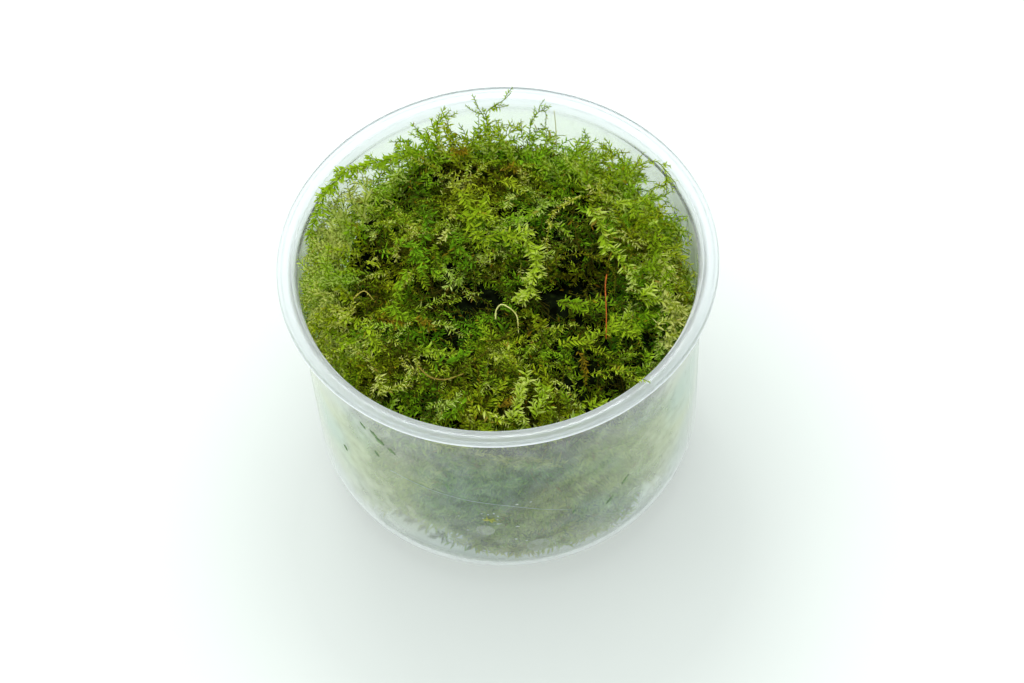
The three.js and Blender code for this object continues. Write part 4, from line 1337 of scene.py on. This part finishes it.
class MOSSCUP_OT_fringe(bpy.types.Operator):
    """Grows the loose shoots around the edge of the moss, and the long ones that lie on top"""
    bl_idname = "mosscup.fringe"
    bl_label = "Loose shoots"

    def execute(self, context):
        rng = np.random.default_rng(SEED + 2)
        paths = np.concatenate([fringe_paths(rng, *group) for group in FRINGE_GROUPS])
        twigs, owner = side_branches(rng, paths, 0.45, (1.4, 3.4))
        x, y = paths[:, 3, 0], paths[:, 3, 1]
        thin = thin_at(x, y)
        # Painted light: shoots at the thin margin are lighter and warmer in colour, where light shines
        # through from behind.
        tone = rng.normal(0.76, 0.10, len(paths)) + 0.32 * thin
        warmth = warmth_at(rng, x, y) * (1 - 0.6 * thin) + 0.48 * thin
        loose = [(paths, tone, warmth, 0.82, 1.0), (twigs, tone[owner] + 0.05, warmth[owner], 0.7, 0.7)]
        long = []
        for tone, warmth, vigour, points in LONG_SHOOTS:
            lift = 1.9 if tone > 0.55 else 0.9
            path = curve_through(on_moss([(x, y - 0.7 * lift, lift) for x, y in points]), 6)[None]
            twigs, _ = side_branches(rng, path, 0.42, (1.5, 3.4))
            long.append((path, tone, warmth, vigour, 1.0))
            long.append((twigs, tone + 0.04, warmth, vigour * TWIG_VIGOUR, 0.7))
        stems = crown_paths(rng, 90, (8, 18), (2.0, 3.5), (0.9, 0.8))
        long.append((stems, 0.3, 0.9, 0.35, rng.uniform(0.9, 1.7, len(stems))))
        for name, material, bundles, seed in (
            ("moss_fringe", "thin_moss_tips", loose, 21),
            ("moss_long_shoots", "living_moss", long, 22),
        ):
            obj = grow_shoots(name, "fine_shoots", material, bundles, leaf_sizes(seed, 1.3, 1.35, 0.9))
            finish_piece(obj, "moss_green", "moss_tangle")
        return {"FINISHED"}


class MOSSCUP_OT_sprigs(bpy.types.Operator):
    """Grows the named leafy sprigs that stand out of the tangle"""
    bl_idname = "mosscup.sprigs"
    bl_label = "Leafy sprigs"

    def execute(self, context):
        for seed, (name, slot, tone, warmth, vigour, share, runs) in enumerate(LEAFY_SPRIGS):
            rng = np.random.default_rng(SEED + 50 + seed)
            material = "thin_moss_tips" if runs[0][0][1] > BACK_SPRIGS else "living_moss"
            bundles = []
            for run in runs:
                path = curve_through(run, 6)[None]
                twigs, _ = side_branches(rng, path, share, (1.4, 3.6))
                bundles.append((path, tone, warmth, vigour, 1.2))
                if len(twigs):
                    bundles.append((twigs, tone + 0.05, warmth, vigour * TWIG_VIGOUR, 0.8))
            sizes = leaf_sizes(seed + 31, length=1.15, share=0.92)
            obj = grow_shoots("leafy_" + name, "fine_shoots", material, bundles, sizes)
            finish_piece(obj, slot, name)
        return {"FINISHED"}


class MOSSCUP_OT_stalks(bpy.types.Operator):
    """Makes the bare stalks and stems"""
    bl_idname = "mosscup.stalks"
    bl_label = "Bare stalks"

    def execute(self, context):
        for seed, (name, slot, radius, stops, vigour, line) in enumerate(BARE_STALKS):
            points, faces = tube(curve_through(line, 8), radius)
            material = bare_stalk("dry_" + name, stops)
            finish_piece(mesh_object("bare_" + name, points, faces, material), slot, name)
            if vigour:
                bundles = [(curve_through(line, 6)[None], 0.82, 0.8, vigour, 0.8)]
                sizes = leaf_sizes(seed + 61, spacing=1.2, share=0.55)
                obj = grow_shoots("leaves_on_" + name, "fine_shoots", "living_moss", bundles, sizes)
                finish_piece(obj, slot, name)
        return {"FINISHED"}


class MOSSCUP_OT_marks(bpy.types.Operator):
    """Puts the stray leaves, the specks (those of water drawn as painted glints), the pale thread and the
    drops of water on the cup's wall
    """
    bl_idname = "mosscup.marks"
    bl_label = "Marks on the wall"

    def execute(self, context):
        for name, rows, material, stops, slot in WALL_MARKS:
            points, faces = flakes(rows)
            finish_piece(mesh_object(name, points, faces, bare_stalk(material, stops)), slot)
        line = curve_through([on_wall(angle, z, 0, 0, THREAD_RADIUS) for angle, z in PALE_THREAD], 8)
        points, faces = tube(line, THREAD_RADIUS, 6)
        thread = bare_stalk("pale_thread", [(0.3, "#9fb3a6"), (0.7, "#c4d3ca")])
        finish_piece(mesh_object("pale_thread", points, faces, thread), "moss_pale")
        points, faces = drops(WATER_DROPS)
        finish_piece(mesh_object("water_drops", points, faces, clear_water(), False), "clear_plastic")
        return {"FINISHED"}


class MOSSCUP_OT_flanks(bpy.types.Operator):
    """Grows the shoots that lie against the wall and the floor of the cup"""
    bl_idname = "mosscup.flanks"
    bl_label = "Flank shoots"

    def execute(self, context):
        settings = context.scene.moss_cup
        rng = np.random.default_rng(SEED + 1)
        paths = flank_paths(rng, settings.flank_shoots, (5, 11), (0.5, 2.2))
        x, y, level = paths[:, 2].T
        clump = over_moss(x, y, 5, 70, level / 5) - 0.5
        # Paler near the top, near the foot and at the sides, where light comes in
        upper = 0.34 * ease(level, 38, 12)
        lower = 0.20 * ease(-level, -16, 8)
        sides = ease(np.abs(x + 3), 17, 8)
        tone = (0.76 + 1.9 * clump * (1 - 0.6 * sides) + upper + lower + 0.24 * sides
                + rng.normal(0, 0.08, len(level)))
        tone = np.clip(tone, 0.42, 0.98)
        warmth = warmth_at(rng, x + level, y) - 0.25 + lower
        low = floor_paths(rng, settings.floor_shoots, (5, 10))
        low_warmth = warmth_at(rng, low[:, 2, 0], low[:, 2, 1])
        low_tone = tone_at(rng, low[:, 2, 0], low[:, 2, 1], 0.4, 0.45)
        pressed = []
        for wall_tone, wall_warmth, places in WALL_SHOOTS:
            line = curve_through([on_wall(angle, z, 0, 0, -WALL - 0.15) for angle, z in places], 6)[None]
            twigs, _ = side_branches(rng, line, 0.6, (1.6, 3.6))
            pressed += [(line, wall_tone, wall_warmth, 1.3, 1.0), (twigs, wall_tone, wall_warmth, 1.1, 0.8)]
        near, far = y < 0, y >= 0
        far_bundles = [(paths[far][n::3], tone[far][n::3], warmth[far][n::3], 1.1, 1.0) for n in (0, 1)]
        for name, bundles in (
            ("moss_flank_near", [(paths[near], tone[near], warmth[near], 1.1, 1.0), *pressed]),
            ("moss_flank_far", far_bundles),
            ("moss_floor", [(low, low_tone, low_warmth, 1.1, 1.0)]),
        ):
            obj = grow_shoots(name, "plain_shoots", "living_moss", bundles, leaf_sizes(9, 1.5, 1.75))
            finish_piece(obj, "moss_green", "moss_tangle")
        return {"FINISHED"}


class MOSSCUP_PT_panel(bpy.types.Panel):
    """Lists the steps that build the cup of moss"""
    bl_label = "Moss cup"
    bl_idname = "MOSSCUP_PT_panel"
    bl_space_type = "VIEW_3D"
    bl_region_type = "UI"
    bl_category = "Moss cup"

    def draw(self, context):
        for name in MossCupSettings.__annotations__:
            self.layout.prop(context.scene.moss_cup, name)
        for operator in OPERATORS:
            self.layout.operator(operator.bl_idname)


OPERATORS = (
    MOSSCUP_OT_leaves,
    MOSSCUP_OT_stage,
    MOSSCUP_OT_cup,
    MOSSCUP_OT_depth,
    MOSSCUP_OT_crown,
    MOSSCUP_OT_fringe,
    MOSSCUP_OT_sprigs,
    MOSSCUP_OT_stalks,
    MOSSCUP_OT_marks,
    MOSSCUP_OT_flanks,
)
CLASSES = (MossCupSettings, *OPERATORS, MOSSCUP_PT_panel)


def register():
    for item in CLASSES:
        bpy.utils.register_class(item)
    bpy.types.Scene.moss_cup = bpy.props.PointerProperty(type=MossCupSettings)


def unregister():
    del bpy.types.Scene.moss_cup
    for item in reversed(CLASSES):
        bpy.utils.unregister_class(item)


def main():
    register()
    for operator in OPERATORS:
        group, name = operator.bl_idname.split(".")
        getattr(getattr(bpy.ops, group), name)()


if __name__ == "__main__":
    main()
